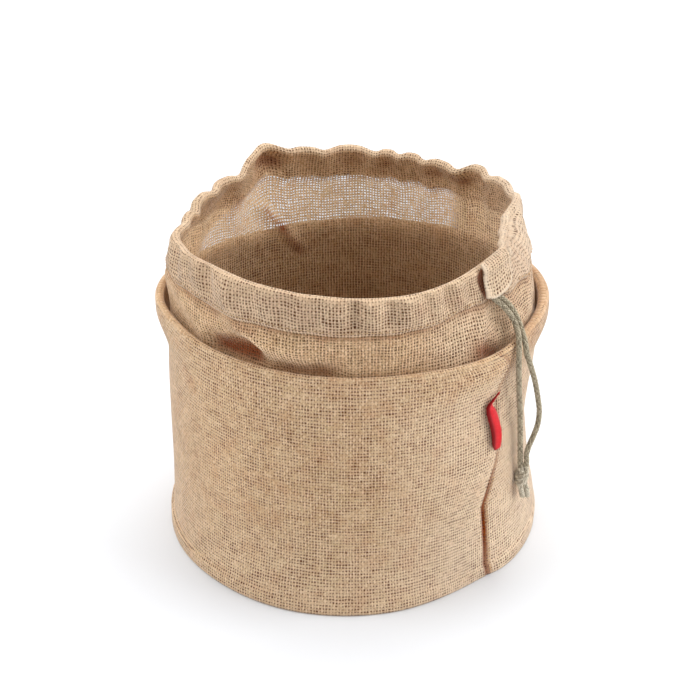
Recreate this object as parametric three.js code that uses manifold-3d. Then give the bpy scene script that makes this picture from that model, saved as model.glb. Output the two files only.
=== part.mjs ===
// Vegetable storage bag of jute: a stiff round sleeve stands on a base panel and holds a loose
// inner sac. The top of the sac is turned outwards as a casing for a drawstring, whose two ends
// come out at the front right, hang over the rim of the sleeve and are joined by a knot.
//
// Millimetres, +Z up, front towards -Y. The origin is the middle of the underside of the base.
// A bearing is an angle in degrees round the bag, seen from above: 0 at the front, 90 at the
// right, -90 at the left, 180 at the back.
import * as THREE from "three";
import Module from "manifold-3d";
import { mergeVertices } from "three/addons/utils/BufferGeometryUtils.js";

// ---- driving dimensions ----
const WALL_RADIUS = 120.3; // outer face of the sleeve at half height
const SLEEVE_THICKNESS = 3.0; // doubled jute
const SAC_THICKNESS = 1.8; // single loose jute
const BASE_THICKNESS = 2.4;
const SEAT_GAP = 0.35; // between pieces that are sewn or rest on each other
const DRAPE_GAP = 2.2; // between the sac and the inside of the sleeve
const FOOT_HEIGHT = 7.5; // turned-up bottom edge of the sleeve
const FOOT_FADE = 4.0;
const FLARE_HEIGHT = 55.0; // the wall widens to the base over this height
const LAP = 1.6; // how proud the lapped edge of the sleeve stands
const LAP_BEARING = 47.5;
const LAP_FADE = 12.0; // degrees over which the lapped edge runs out
const CASING_DEPTH = 24.0; // from the top of the sac to the hem of its casing
const CASING_HALF = 3.6; // half the width of the casing's top fold
const CASING_PUFF = 1.2;
const SHOULDER = 7; // bulge of the casing's outer layer where it leans in, at the right
const SHOULDER_AT = 86;
const SHOULDER_WIDTH = 12;
const HEM_STEP = 2.4; // middle of the turned layer to middle of the wall at the hem
const CORD_RADIUS = 1.8;
const CORD_SIDES = 8;
const CORD_STEPS = 18;
const FOLD_SCALE = 2.0; // millimetres of cloth for each degree round the bag, for folds

const table = (names, rows) =>
  rows.map((row) => Object.fromEntries(names.map((name, i) => [name, row[i]])));

// Top edge of the sleeve: height of the fold and radius of its outer face.
const SLEEVE_RIM = table(["bearing", "top", "radius"], [
  [-180, 160.5, 120], [-155, 159, 119], [-135, 161.5, 118.5], [-113, 164.5, 120.5],
  [-95, 169, 123.5], [-80, 170.5, 124.8], [-66, 169.5, 122], [-50, 168.5, 120.8],
  [-32, 168, 119.4], [-12, 168, 119.2], [6, 168, 119.2], [20, 168, 120.6],
  [34, 168, 124], [48, 168, 126], [60, 169, 125.2], [78, 170.5, 125.8],
  [95, 170, 124.5], [122, 166, 121.5], [150, 162.5, 120.5],
]);

// Bottom edge of the sleeve: radius at the surface, and how far its turned-up edge stands proud.
const SLEEVE_FOOT = table(["bearing", "radius", "proud"], [
  [-180, 125, 1.6], [-135, 125, 1.6], [-90, 123.8, 2.4], [-63, 125.6, 2], [-45, 126.3, 1.4],
  [-30, 127.5, 1.1], [-18, 128.2, 1], [-2, 127.6, 1], [14, 126, 1], [26, 123.4, 0.9],
  [36, 121.8, 0.8], [44, 121.8, 0.8], [52, 125, 1.2], [65, 125.7, 1.4], [90, 124.9, 1.6],
  [135, 125, 1.6],
]);

// Edge of the lapped seam: bearing of the upper layer's edge at each height.
const SEAM = table(["height", "bearing"], [
  [0, 45.3], [5, 44.8], [10, 44.3], [24, 44.1], [42, 43.4], [50, 42.9], [55.5, 42.5], [59, 42.9],
  [63.5, 43.8], [73, 45.4], [79, 46.8], [85, 48.1], [94.5, 48.8], [111, 48.2], [123, 47.2],
  [133.6, 46.8], [137, 47.5], [143, 48.2], [148, 49], [154, 49.6], [158, 49], [162.5, 47.5],
  [168, 44.8],
]);

// Top edge of the sac: height, radius at the middle of the casing, radius of the wall below it.
const SAC_RIM = table(["bearing", "top", "casing", "wall"], [
  [-180, 220, 110.5, 115], [-168, 220.5, 108.5, 115], [-160, 221, 112.5, 116],
  [-151, 224, 120.5, 118], [-143, 221, 113, 116], [-132, 217.5, 105, 113.5],
  [-120, 218.5, 103.5, 113.5], [-108, 219, 103, 113.5], [-95, 219, 103.5, 118],
  [-84, 219.5, 107.5, 120], [-75, 220, 113, 119], [-60, 220.5, 115, 116.5],
  [-45, 221, 115, 115.5], [-26, 221.5, 117.5, 116.5], [-10, 221.5, 116, 116],
  [0, 221, 115, 115.5], [10, 220, 111.5, 115], [20, 219, 109, 114], [33, 218, 105.5, 112.5],
  [44, 217, 102, 111], [55, 217, 100.5, 111], [63, 217.5, 101.5, 112.5], [67, 217.6, 101.2, 113.5],
  [72, 217.4, 99, 114.4], [80, 217, 97, 114.8], [90, 217.8, 97.5, 114.8],
  [97, 219.3, 102.5, 115.2], [103, 220.8, 109, 115.4], [109, 221, 112.3, 115.5], [121, 221, 111.5, 116],
  [132, 221, 112, 115.5], [139, 219.5, 104.5, 114.5], [150, 219.5, 105.5, 114],
  [162, 220, 105, 113.5], [172, 220, 106.5, 114],
]);

// Gathers of the casing on its cord: how far each trough is pulled in and how far it drops.
const GATHERS = table(["bearing", "pinch", "drop"], [
  [-170, 2.2, 1.8], [-157, 2.2, 2.2], [-134, 3, 2.5], [-116, 2.8, 2.6], [-97, 2.5, 2.5],
  [-86, 1.8, 1.6], [-66, 1.3, 0.8], [-49, 1.6, 1], [-33, 1, 0.8], [-15, 1.5, 1.2],
  [1, 1.4, 0.7], [14, 1.6, 0.8], [31, 1.5, 1], [47, 1.2, 0.8], [62, 1.5, 1], [72, 1.5, 1.4],
  [82, 1.6, 1.6], [94, 2.2, 2.2], [110, 2.4, 2.2], [125, 2.6, 2.4], [137, 2.8, 2.6],
  [152, 2.6, 2.2], [162, 2.2, 1.6], [171, 2, 1.8],
]);

// Folds, each along a straight line on the unrolled cloth; a positive depth is pushed inwards.
const FOLD_COLUMNS = ["bearing", "height", "toBearing", "toHeight", "width", "depth"];
const SLEEVE_FOLDS = table(FOLD_COLUMNS, [
  [84, 80, 84, 95, 26, 7.5], // waist at the right
  [86, 38, 86, 50, 14, 1],
  [78, 18, 90, 18, 14, -1.6],
  [-83, 133, -83, 133, 18, 0.8],
  [-40, 120, -10, 110, 40, 0.8],
]);
const SAC_FOLDS = table(FOLD_COLUMNS, [
  [-46, 166, -33, 169, 12, 9], // deep dent at the front left, at the sleeve's rim
  [-21, 164, -9, 163, 11, 6.5], // dent beside it
  [-28, 182, -18, 180, 10, -2.5], // bulge between them
  [48, 172, 54, 164, 9, 6], // dent under the drawstring's exit
  [47, 190, 41, 162, 5, -2.5], // ridge that runs down from the exit
  [73, 184, 70, 178, 12, -2.5],
  [30, 176, 18, 168, 10, 1.5],
  [-65, 192, -55, 176, 9, -1.5],
  [-75, 176, -60, 168, 9, 2],
  [-147, 190, -152, 176, 9, -1], // below the back left corner
  [-148, 184, -163, 140, 4.5, 4], // crease that runs down from the corner, inside
  [-141, 200, -135, 178, 9, 3],
]);

// Free strands of the drawstring, from inside the casing to the knot.
const POINT_COLUMNS = ["x", "y", "z"];
const LEFT_STRAND = table(POINT_COLUMNS, [
  [72, -73.6, 208.4], [74.6, -70.2, 208.7], [76.5, -68.7, 208.3], [78.2, -68, 207.2],
  [79.5, -68.4, 205.5], [81.3, -69.7, 202.5], [83.3, -70.9, 199.3], [85.9, -71.6, 196],
  [89.1, -71.2, 193.3], [93.4, -70.1, 188.1], [97.7, -68.3, 180.9], [100.1, -69.5, 175.3],
  [101.1, -73.4, 171.9], [101.2, -77.3, 169.2], [101.2, -79.7, 165.7], [101.3, -80, 158.9],
  [102.1, -77.8, 147], [103.3, -74.4, 132.1], [104.8, -70.3, 117.3], [106.2, -65.9, 99.8],
  [107.2, -63.5, 83.2], [108, -61.6, 69.2],
]);
const RIGHT_STRAND = table(POINT_COLUMNS, [
  [85.6, -55.7, 209.5], [83.1, -59.6, 209.3], [81.9, -61.6, 208.9], [81.6, -63.4, 207.7],
  [82.4, -64.8, 206], [84.1, -66.2, 202.7], [85.9, -67.4, 199.8], [87.8, -68.3, 197.6],
  [91.4, -67.2, 194], [95.4, -65.9, 189], [98.9, -64.7, 183.2], [101.8, -64.9, 176.7],
  [103.7, -68.3, 172.1], [104.8, -71.9, 169.2], [105.5, -74.8, 166.5], [106.2, -75.5, 161.9],
  [108.7, -72.9, 153.4], [113.4, -65.8, 136.4], [117, -60.7, 118.8], [118.5, -57.8, 108.1],
  [117.9, -57.5, 98.2], [115.1, -60.8, 91.3], [112.6, -63.1, 86], [111.2, -64.4, 80.7],
  [111.7, -62.7, 74.8], [111.8, -60.2, 69.2],
]);

// Knot and the two tails below it.
const KNOT = { x: 109.6, y: -59, z: 61.6, wide: 5.2, deep: 4.2, high: 7.8 };
const TAILS = [
  { from: [108.3, -61.6, 56.5], to: [110.9, -59, 44.6] },
  { from: [112, -58, 56.5], to: [114.1, -57.2, 43.4] },
];

// Folded loop label in the seam: how far its fold reaches over the left panel, and its loft.
const LABEL_THICKNESS = 0.7;
const LABEL_SEAT = 0.6; // from the lapped layer to the ribbon's middle
const LABEL_TUCK = 0.3; // degrees left of the seam's edge
const LABEL_TURN_STEPS = 4;
const LABEL = table(["height", "reach", "loft"], [
  [138.5, 1.8, 1.6], [136.5, 6, 2.2], [132.5, 10.4, 3], [128, 10.6, 3.4], [122.5, 9.6, 3.8],
  [115, 9, 3.8], [108, 8.6, 3.8], [101, 7.4, 3.4], [97.5, 5.2, 2.8],
]);

// Rounded end of the casing that laps over to the right of the drawstring's slit. "along" runs
// from the left edge to the right edge; the other columns are positions on the casing, where -1
// is its hem, 0 the widest point of its fold and 1 the top. "lean" turns a column's upper end right.
const SLIT = { from: 45.6, to: 54.6, low: -1.05, high: -0.08, margin: 0.25, columns: 4 };
const CASING_END_THICKNESS = 1.6;
const CASING_END = table(["along", "low", "high", "lift", "lean"], [
  [0, -0.6, 0.8, 2.6, 2.2], [0.25, -0.72, 0.97, 3.4, 1.6], [0.5, -0.76, 1, 3.2, 1],
  [0.75, -0.7, 1, 2.4, 0.5], [1, -0.42, 0.85, 0.8, 0],
]);
const CASING_END_GRID = { from: 48, to: 61.2, columns: 6, rows: 6 };

// ---- curves and folds shared by the pieces ----
const radians = THREE.MathUtils.degToRad;
const lerp = THREE.MathUtils.lerp;
const smooth = THREE.MathUtils.smoothstep; // (value, from, to)
const wrap = (degrees) => THREE.MathUtils.euclideanModulo(degrees + 180, 360) - 180;

/** A smooth periodic curve through one column of a table of bearings. */
function ringCurve(rows, column) {
  const sorted = [...rows].sort((a, b) => a.bearing - b.bearing);
  const count = sorted.length;
  const at = (i) => {
    const turn = Math.floor(i / count);
    const row = sorted[i - turn * count];
    return { bearing: row.bearing + 360 * turn, value: row[column] };
  };
  return (bearing) => {
    const b = THREE.MathUtils.euclideanModulo(bearing - sorted[0].bearing, 360) + sorted[0].bearing;
    let i = count - 1;
    while (i > 0 && sorted[i].bearing > b) i -= 1;
    const [p0, p1, p2, p3] = [at(i - 1), at(i), at(i + 1), at(i + 2)];
    const h = p2.bearing - p1.bearing;
    const t = (b - p1.bearing) / h;
    const m1 = ((p2.value - p0.value) / (p2.bearing - p0.bearing)) * h;
    const m2 = ((p3.value - p1.value) / (p3.bearing - p1.bearing)) * h;
    const t2 = t * t;
    const t3 = t2 * t;
    const ends = (2 * t3 - 3 * t2 + 1) * p1.value + (3 * t2 - 2 * t3) * p2.value;
    return ends + (t3 - 2 * t2 + t) * m1 + (t3 - t2) * m2;
  };
}

/** Straight-line interpolation of one column of a table against another. */
function lookUp(rows, key, x, column) {
  if (x <= rows[0][key]) return rows[0][column];
  for (let i = 1; i < rows.length; i += 1) {
    if (x <= rows[i][key]) {
      const t = (x - rows[i - 1][key]) / (rows[i][key] - rows[i - 1][key]);
      return lerp(rows[i - 1][column], rows[i][column], t);
    }
  }
  return rows[rows.length - 1][column];
}

/** How far the folds push the cloth inwards at a bearing and height. */
function foldDepth(folds, bearing, height) {
  let depth = 0;
  for (const fold of folds) {
    const u = wrap(bearing - fold.bearing) * FOLD_SCALE;
    const v = height - fold.height;
    const du = wrap(fold.toBearing - fold.bearing) * FOLD_SCALE;
    const dv = fold.toHeight - fold.height;
    const length2 = du * du + dv * dv;
    const t = length2 > 0 ? THREE.MathUtils.clamp((u * du + v * dv) / length2, 0, 1) : 0;
    const away2 = (u - t * du) ** 2 + (v - t * dv) ** 2;
    depth += fold.depth * Math.exp(-away2 / fold.width ** 2);
  }
  return depth;
}

// ---- sleeve ----
const rimTop = ringCurve(SLEEVE_RIM, "top");
const rimRadius = ringCurve(SLEEVE_RIM, "radius");
const footRadius = ringCurve(SLEEVE_FOOT, "radius");
const footProud = ringCurve(SLEEVE_FOOT, "proud");
const WARP_WIDTH = 16; // degrees of cloth on each side that follow the seam's curve
const FLARE_POWER = 1.5;
const ROLL_FROM = 136; // the wall runs out to the rim's radius between these heights
const ROLL_TO = 162;
const ROLL_MIDDLE = 150;
const RIM_EASE = 0.2; // the rim's fold starts a little inside the two faces

/** Bearing of a column of the sleeve at a height: columns beside the seam follow its edge. */
function sleeveBearing(column, height) {
  const shift = lookUp(SEAM, "height", height, "bearing") - LAP_BEARING;
  return column + shift * Math.exp(-((wrap(column - LAP_BEARING) / WARP_WIDTH) ** 2));
}

function footStep(bearing, height) {
  return footProud(bearing) * (1 - smooth(height, FOOT_HEIGHT, FOOT_HEIGHT + FOOT_FADE));
}

/** Radius of the sleeve without the lap, as an outer face. */
function sleeveRadius(bearing, height) {
  let radius = WALL_RADIUS - foldDepth(SLEEVE_FOLDS, bearing, height);
  radius += (rimRadius(bearing) - WALL_RADIUS) * smooth(height, ROLL_FROM, ROLL_TO);
  const flare = footRadius(bearing) - WALL_RADIUS - footProud(bearing);
  radius += flare * (1 - smooth(height, 0, FLARE_HEIGHT)) ** FLARE_POWER;
  return radius + footStep(bearing, height);
}

/** Extra radius of the lapped layer, left of the seam's edge only. */
function lapStep(column) {
  const left = wrap(LAP_BEARING - column);
  return left >= 0 ? LAP * Math.exp(-((left / LAP_FADE) ** 2)) : 0;
}

// ---- sac ----
const sacTop = ringCurve(SAC_RIM, "top");
const sacCasing = ringCurve(SAC_RIM, "casing");
const sacWall = ringCurve(SAC_RIM, "wall");
const CLEAR_OF_SLEEVE = 190; // heights between which the sac changes its course
const NECK_FROM = 186;
const NECK_TO = 212;
const FOLDS_FROM = 135;
const PINCH_FROM = 176;
const PINCH_TO = 204;
const GATHERS_SORTED = [...GATHERS].sort((a, b) => a.bearing - b.bearing);

/** Pinch and drop of the gathers at a bearing: full in a trough, none on the scallop between. */
function gather(bearing) {
  const rows = GATHERS_SORTED;
  const b = THREE.MathUtils.euclideanModulo(bearing - rows[0].bearing, 360) + rows[0].bearing;
  let i = rows.length - 1;
  while (i > 0 && rows[i].bearing > b) i -= 1;
  const last = i === rows.length - 1;
  const next = last ? rows[0] : rows[i + 1];
  const end = last ? next.bearing + 360 : next.bearing;
  const t = (b - rows[i].bearing) / (end - rows[i].bearing);
  const trough = Math.cos(Math.PI * t) ** 4;
  return {
    pinch: lerp(rows[i].pinch, next.pinch, t) * trough,
    drop: lerp(rows[i].drop, next.drop, t) * trough,
  };
}

/** Middle radius of the sac's single wall. Inside the sleeve it follows the sleeve. */
function sacRadius(bearing, height) {
  const inSleeve = Math.min(
    sleeveRadius(bearing, Math.min(height, ROLL_MIDDLE)),
    sleeveRadius(bearing, Math.min(height, ROLL_TO)),
  );
  const gap = SLEEVE_THICKNESS + DRAPE_GAP + SAC_THICKNESS / 2;
  const low = inSleeve - footStep(bearing, height) - gap;
  const wall = sacWall(bearing);
  let radius = lerp(low, wall, smooth(height, ROLL_TO, CLEAR_OF_SLEEVE));
  radius += (sacCasing(bearing) - CASING_HALF - wall) * smooth(height, NECK_FROM, NECK_TO);
  radius -= foldDepth(SAC_FOLDS, bearing, height) * smooth(height, FOLDS_FROM, ROLL_MIDDLE);
  return radius - gather(bearing).pinch * smooth(height, PINCH_FROM, PINCH_TO);
}

/** Sizes of the casing's section at a bearing. */
function casingAt(bearing) {
  const { pinch, drop } = gather(bearing);
  const top = sacTop(bearing) - drop;
  const half = CASING_HALF - pinch / 5;
  const hem = top - CASING_DEPTH;
  return {
    half,
    hem,
    centre: sacCasing(bearing) - pinch,
    middle: top - half - SAC_THICKNESS / 2,
    hemRadius: sacRadius(bearing, hem) + HEM_STEP,
  };
}

/** A point of the casing's outer layer: -1 at the hem, 0 at the fold's side, 1 at its top. */
function casingOuter(bearing, position) {
  const { half, hem, centre, middle, hemRadius } = casingAt(bearing);
  if (position >= 0) {
    const angle = (Math.PI / 2) * position;
    return new THREE.Vector2(centre + half * Math.cos(angle), middle + half * Math.sin(angle));
  }
  const t = -position;
  const radius = lerp(centre + half, hemRadius, smooth(t, 0, 1));
  const shoulder = SHOULDER * Math.exp(-(((bearing - SHOULDER_AT) / SHOULDER_WIDTH) ** 2));
  const puff = CASING_PUFF * Math.sin(Math.PI * t) + shoulder * Math.sin(Math.PI * t ** 0.5);
  return new THREE.Vector2(radius + puff, lerp(middle, hem, t));
}

// ---- meshes ----
/** A point at a bearing, radius and height. */
function around(bearing, radius, height) {
  const a = radians(bearing);
  return new THREE.Vector3(radius * Math.sin(a), -radius * Math.cos(a), height);
}

/** A closed solid from a grid of points, grid[column][row]. Rows always close on themselves;
 *  columns close too, or else their ends are capped by a strip between opposite rows. */
function solidFromGrid(grid, closedColumns) {
  const rows = grid[0].length;
  const positions = grid.flat().flatMap((p) => [p.x, p.y, p.z]);
  const at = (column, row) => (column % grid.length) * rows + (row % rows);
  const index = [];
  const spans = closedColumns ? grid.length : grid.length - 1;
  for (let i = 0; i < spans; i += 1) {
    for (let j = 0; j < rows; j += 1) {
      index.push(at(i, j), at(i + 1, j), at(i + 1, j + 1));
      index.push(at(i, j), at(i + 1, j + 1), at(i, j + 1));
    }
  }
  if (!closedColumns) {
    const end = grid.length - 1;
    for (let j = 0; j < rows / 2 - 1; j += 1) {
      const k = rows - 1 - j;
      index.push(at(0, j), at(0, j + 1), at(0, k - 1), at(0, j), at(0, k - 1), at(0, k));
      index.push(at(end, j), at(end, k - 1), at(end, j + 1), at(end, j), at(end, k), at(end, k - 1));
    }
  }
  const geometry = new THREE.BufferGeometry();
  geometry.setAttribute("position", new THREE.Float32BufferAttribute(positions, 3));
  geometry.setIndex(index);
  return geometry;
}

/** Offsets an open path of (radius, height) points to both sides by half a thickness. */
function thicken(path, thickness) {
  const sides = [[], []];
  path.forEach((point, i) => {
    const before = path[Math.max(i - 1, 0)];
    const after = path[Math.min(i + 1, path.length - 1)];
    const along = new THREE.Vector2().subVectors(after, before).normalize();
    const normal = new THREE.Vector2(along.y, -along.x).multiplyScalar(thickness / 2);
    sides[0].push(point.clone().add(normal));
    sides[1].unshift(point.clone().sub(normal));
  });
  return [...sides[0], ...sides[1]];
}

const wasm = await Module();
wasm.setup();

function toManifold(geometry) {
  const bare = geometry.clone();
  bare.deleteAttribute("normal");
  bare.deleteAttribute("uv");
  const merged = mergeVertices(bare, 1e-4);
  return new wasm.Manifold(new wasm.Mesh({
    numProp: 3,
    vertProperties: new Float32Array(merged.attributes.position.array),
    triVerts: new Uint32Array(merged.index.array),
  }));
}

function fromManifold(solid) {
  const mesh = solid.getMesh();
  const geometry = new THREE.BufferGeometry();
  geometry.setAttribute("position", new THREE.BufferAttribute(mesh.vertProperties, 3));
  geometry.setIndex(new THREE.BufferAttribute(mesh.triVerts, 1));
  return geometry;
}

// Columns of the sleeve: even steps, with a narrow pair that makes the step at the seam.
const SLEEVE_COLUMNS = 62;
const SEAM_WIDTH = 0.5;

function sleeveColumns() {
  const step = 360 / SLEEVE_COLUMNS;
  const columns = [LAP_BEARING - SEAM_WIDTH / 2, LAP_BEARING + SEAM_WIDTH / 2];
  for (let i = 1; i < SLEEVE_COLUMNS; i += 1) columns.push(LAP_BEARING + i * step);
  return columns;
}

function makeSleeve() {
  const heights = [0, FOOT_HEIGHT, FOOT_HEIGHT + FOOT_FADE, 45, 88, 122, 142, 153, 162];
  const half = SLEEVE_THICKNESS / 2;
  const grid = sleeveColumns().map((column) => {
    const lap = column < LAP_BEARING || column > LAP_BEARING + 180 ? lapStep(column) : 0;
    const face = (height, inset) => {
      const bearing = sleeveBearing(column, height);
      const outer = sleeveRadius(bearing, height);
      return inset === 0
        ? around(bearing, outer + lap, height)
        : around(bearing, outer - footStep(bearing, height) - inset, height);
    };
    const top = rimTop(sleeveBearing(column, ROLL_TO));
    const bearing = sleeveBearing(column, top);
    const radius = sleeveRadius(bearing, top);
    const fold = [
      around(bearing, radius + lap - RIM_EASE, top - half),
      around(bearing, radius - half + lap / 2, top),
      around(bearing, radius - SLEEVE_THICKNESS + RIM_EASE, top - half),
    ];
    const inner = [...heights].reverse().filter((height) => height !== FOOT_HEIGHT);
    return [
      ...heights.map((height) => face(height, 0)),
      ...fold,
      ...inner.map((height) => face(height, SLEEVE_THICKNESS)),
    ];
  });
  return solidFromGrid(grid, true);
}

function makeBase() {
  const footTop = FOOT_HEIGHT + FOOT_FADE;
  const rim = sleeveColumns().map((column) => {
    const [low, high] = [0, footTop].map((height) => {
      const bearing = sleeveBearing(column, height);
      const face = sleeveRadius(bearing, height) - footStep(bearing, height);
      return around(bearing, face - SLEEVE_THICKNESS - 1.3 * SEAT_GAP, 0);
    });
    return low.lerp(high, BASE_THICKNESS / footTop);
  });
  const shape = new THREE.Shape(rim.map((p) => new THREE.Vector2(p.x, p.y)));
  return new THREE.ExtrudeGeometry(shape, { depth: BASE_THICKNESS, bevelEnabled: false });
}

// Columns of the sac: one in each trough of the gathers and even steps over each scallop.
const SAC_STEP = 4.3;

function sacColumns() {
  const columns = [];
  GATHERS_SORTED.forEach((row, i) => {
    const next = GATHERS_SORTED[(i + 1) % GATHERS_SORTED.length];
    const span = THREE.MathUtils.euclideanModulo(next.bearing - row.bearing, 360);
    const parts = Math.max(2, Math.round(span / SAC_STEP));
    for (let k = 0; k < parts; k += 1) columns.push(row.bearing + (span * k) / parts);
  });
  return columns;
}

function makeSac() {
  const heights = [BASE_THICKNESS + 1.5 * SEAT_GAP, 45, 88, 122, 140, 152, 164, 176, 187];
  const grid = sacColumns().map((bearing) => {
    const { half, hem, centre, middle, hemRadius } = casingAt(bearing);
    const wall = heights.map((z) => new THREE.Vector2(sacRadius(bearing, z), z));
    const hemPoint = new THREE.Vector2(sacRadius(bearing, hem), hem);
    const inside = [0.5, 1].map((t) => new THREE.Vector2(
      lerp(hemPoint.x, centre - half, smooth(t, 0, 1)), lerp(hem, middle, t)));
    const fold = [120, 60].map((degrees) => new THREE.Vector2(
      centre + half * Math.cos(radians(degrees)), middle + half * Math.sin(radians(degrees))));
    const turned = [0, -0.5].map((position) => casingOuter(bearing, position));
    const path = [...wall, hemPoint, ...inside, ...fold, ...turned, new THREE.Vector2(hemRadius, hem)];
    return thicken(path, SAC_THICKNESS).map((p) => around(bearing, p.x, p.y));
  });
  return cutSlit(solidFromGrid(grid, true));
}

/** A curved slab that follows the casing's outer layer between two bearings. "section" gives the
 *  positions of its points up the casing and its inner and outer distance from the layer. */
function casingSlab(from, to, columns, sectionAt) {
  const grid = [];
  for (let i = 0; i <= columns; i += 1) {
    const along = i / columns;
    const { positions, inner, outer, lean = 0 } = sectionAt(along);
    const bearings = positions.map((position) => lerp(from, to, along) + lean * position);
    const line = positions.map((position, j) => casingOuter(bearings[j], position));
    const section = [[], []];
    line.forEach((point, j) => {
      const next = line[Math.min(j + 1, line.length - 1)];
      const before = line[Math.max(j - 1, 0)];
      const up = new THREE.Vector2().subVectors(next, before).normalize();
      const out = new THREE.Vector2(up.y, -up.x);
      const at = (distance) => point.clone().addScaledVector(out, distance);
      section[0].push(around(bearings[j], at(outer).x, at(outer).y));
      section[1].unshift(around(bearings[j], at(inner).x, at(inner).y));
    });
    grid.push([...section[0], ...section[1]]);
  }
  return solidFromGrid(grid, false);
}

/** Opens the casing's outer layer where the drawstring comes out. */
function cutSlit(geometry) {
  const cutter = casingSlab(SLIT.from, SLIT.to, SLIT.columns, () => ({
    positions: [SLIT.low, -1, -0.5, SLIT.high],
    inner: -SAC_THICKNESS / 2 - SLIT.margin,
    outer: SAC_THICKNESS,
  }));
  return fromManifold(toManifold(geometry).subtract(toManifold(cutter)));
}

function makeCasingEnd() {
  const { from, to, columns, rows } = CASING_END_GRID;
  return casingSlab(from, to, columns, (along) => {
    const low = lookUp(CASING_END, "along", along, "low");
    const high = lookUp(CASING_END, "along", along, "high");
    const face = SAC_THICKNESS / 2 + SEAT_GAP + lookUp(CASING_END, "along", along, "lift");
    const positions = [];
    for (let j = 0; j <= rows; j += 1) positions.push(lerp(low, high, j / rows));
    const lean = lookUp(CASING_END, "along", along, "lean");
    return { positions, inner: face, outer: face + CASING_END_THICKNESS, lean };
  });
}

/** The label: a ribbon that leaves the seam, lies over the left panel and folds back. */
function makeLabel() {
  const grid = LABEL.map(({ height, reach, loft }) => {
    const seam = sleeveBearing(LAP_BEARING, height);
    const root = sleeveRadius(seam, height) + LAP + LABEL_SEAT;
    const radius = (loft - LABEL_THICKNESS) / 2;
    const ribbon = [new THREE.Vector2(0, LABEL_THICKNESS / 2)];
    for (let i = 0; i <= LABEL_TURN_STEPS; i += 1) {
      const a = (Math.PI * i) / LABEL_TURN_STEPS - Math.PI / 2;
      ribbon.push(new THREE.Vector2(
        reach - radius + radius * Math.cos(a), loft / 2 + radius * Math.sin(a)));
    }
    ribbon.push(new THREE.Vector2(0, loft - LABEL_THICKNESS / 2));
    return thicken(ribbon, LABEL_THICKNESS).map((p) => {
      const degrees = (p.x / root) * THREE.MathUtils.RAD2DEG;
      return around(seam - LABEL_TUCK - degrees, root + p.y, height);
    });
  });
  return solidFromGrid(grid, false);
}

/** A round cord through a list of points. */
function makeCord(points, steps) {
  const path = new THREE.CatmullRomCurve3(points);
  const section = new THREE.Shape();
  section.absarc(0, 0, CORD_RADIUS, 0, 2 * Math.PI, false);
  return new THREE.ExtrudeGeometry(section, {
    steps,
    curveSegments: CORD_SIDES / 2,
    extrudePath: path,
    bevelEnabled: false,
  });
}

const toVectors = (rows) => rows.map(({ x, y, z }) => new THREE.Vector3(x, y, z));

function makeKnot() {
  const body = new THREE.SphereGeometry(1, 12, 8);
  body.scale(KNOT.wide, KNOT.deep, KNOT.high);
  body.rotateZ(Math.atan2(KNOT.x, -KNOT.y));
  body.translate(KNOT.x, KNOT.y, KNOT.z);
  let knot = toManifold(body);
  for (const tail of TAILS) {
    const ends = [new THREE.Vector3(...tail.from), new THREE.Vector3(...tail.to)];
    knot = knot.add(toManifold(makeCord(ends, 3)));
  }
  return fromManifold(knot);
}

// ---- materials and scene ----
const material = (color, roughness) =>
  new THREE.MeshStandardMaterial({ color, roughness, metalness: 0 });
const jute = material(0xc8a884, 0.95);
const looseJute = material(0xc1a588, 0.95);
const satin = material(0xd03a34, 0.45);
const cord = material(0xa59c88, 0.8);

const bag = new THREE.Group();
const add = (name, geometry, finish) => {
  const mesh = new THREE.Mesh(geometry, finish);
  mesh.name = name;
  bag.add(mesh);
};

add("base", makeBase(), jute);
add("sleeve", makeSleeve(), jute);
add("sac", makeSac(), looseJute);
add("casing_end", makeCasingEnd(), looseJute);
add("label", makeLabel(), satin);
add("cord_left", makeCord(toVectors(LEFT_STRAND), CORD_STEPS), cord);
add("cord_right", makeCord(toVectors(RIGHT_STRAND), CORD_STEPS), cord);
add("knot", makeKnot(), cord);

export default bag;
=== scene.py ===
# %% [markdown]
# # Vegetable storage bag of jute
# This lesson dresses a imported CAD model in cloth. The object is a bag for potatoes: a stiff round
# sleeve of doubled jute stands on a woven base, and a loose inner sac rises out of it. The top of
# the sac is turned outwards as a casing for a grey drawstring, which comes out at the front right
# and hangs over the sleeve.
#
# The CAD already holds every size. A scene that is built round it starts by loading it as a fixed
# frame, so that no piece has to be fitted afterwards.

# %% Load the frame
import math
from functools import partial

import bmesh
import bpy
import numpy as np
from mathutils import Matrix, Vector


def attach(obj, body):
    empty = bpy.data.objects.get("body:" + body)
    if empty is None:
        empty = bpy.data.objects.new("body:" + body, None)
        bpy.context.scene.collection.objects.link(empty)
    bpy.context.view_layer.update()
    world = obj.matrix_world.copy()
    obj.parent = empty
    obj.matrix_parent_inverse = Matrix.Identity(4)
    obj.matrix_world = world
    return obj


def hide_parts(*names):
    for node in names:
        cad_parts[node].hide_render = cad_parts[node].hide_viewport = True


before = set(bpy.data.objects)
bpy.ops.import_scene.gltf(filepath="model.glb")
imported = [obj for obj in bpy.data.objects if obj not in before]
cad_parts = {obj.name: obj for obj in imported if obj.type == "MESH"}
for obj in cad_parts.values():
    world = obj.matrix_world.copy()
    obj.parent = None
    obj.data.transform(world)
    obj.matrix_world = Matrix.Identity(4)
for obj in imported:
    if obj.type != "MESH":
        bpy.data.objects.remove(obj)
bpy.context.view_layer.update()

MM = 0.001  # the tables below are in millimetres, and Blender works in metres
scene = bpy.context.scene
print("CAD nodes:", ", ".join(sorted(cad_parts)))

# %% [markdown]
# ## Camera
# A long lens a metre away looks down into the mouth of the bag at about thirty degrees. A long
# lens keeps the round rim calm, where a wide one would swell the near side. The Standard view
# transform shows colours as they are, which suits a product on white.

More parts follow.
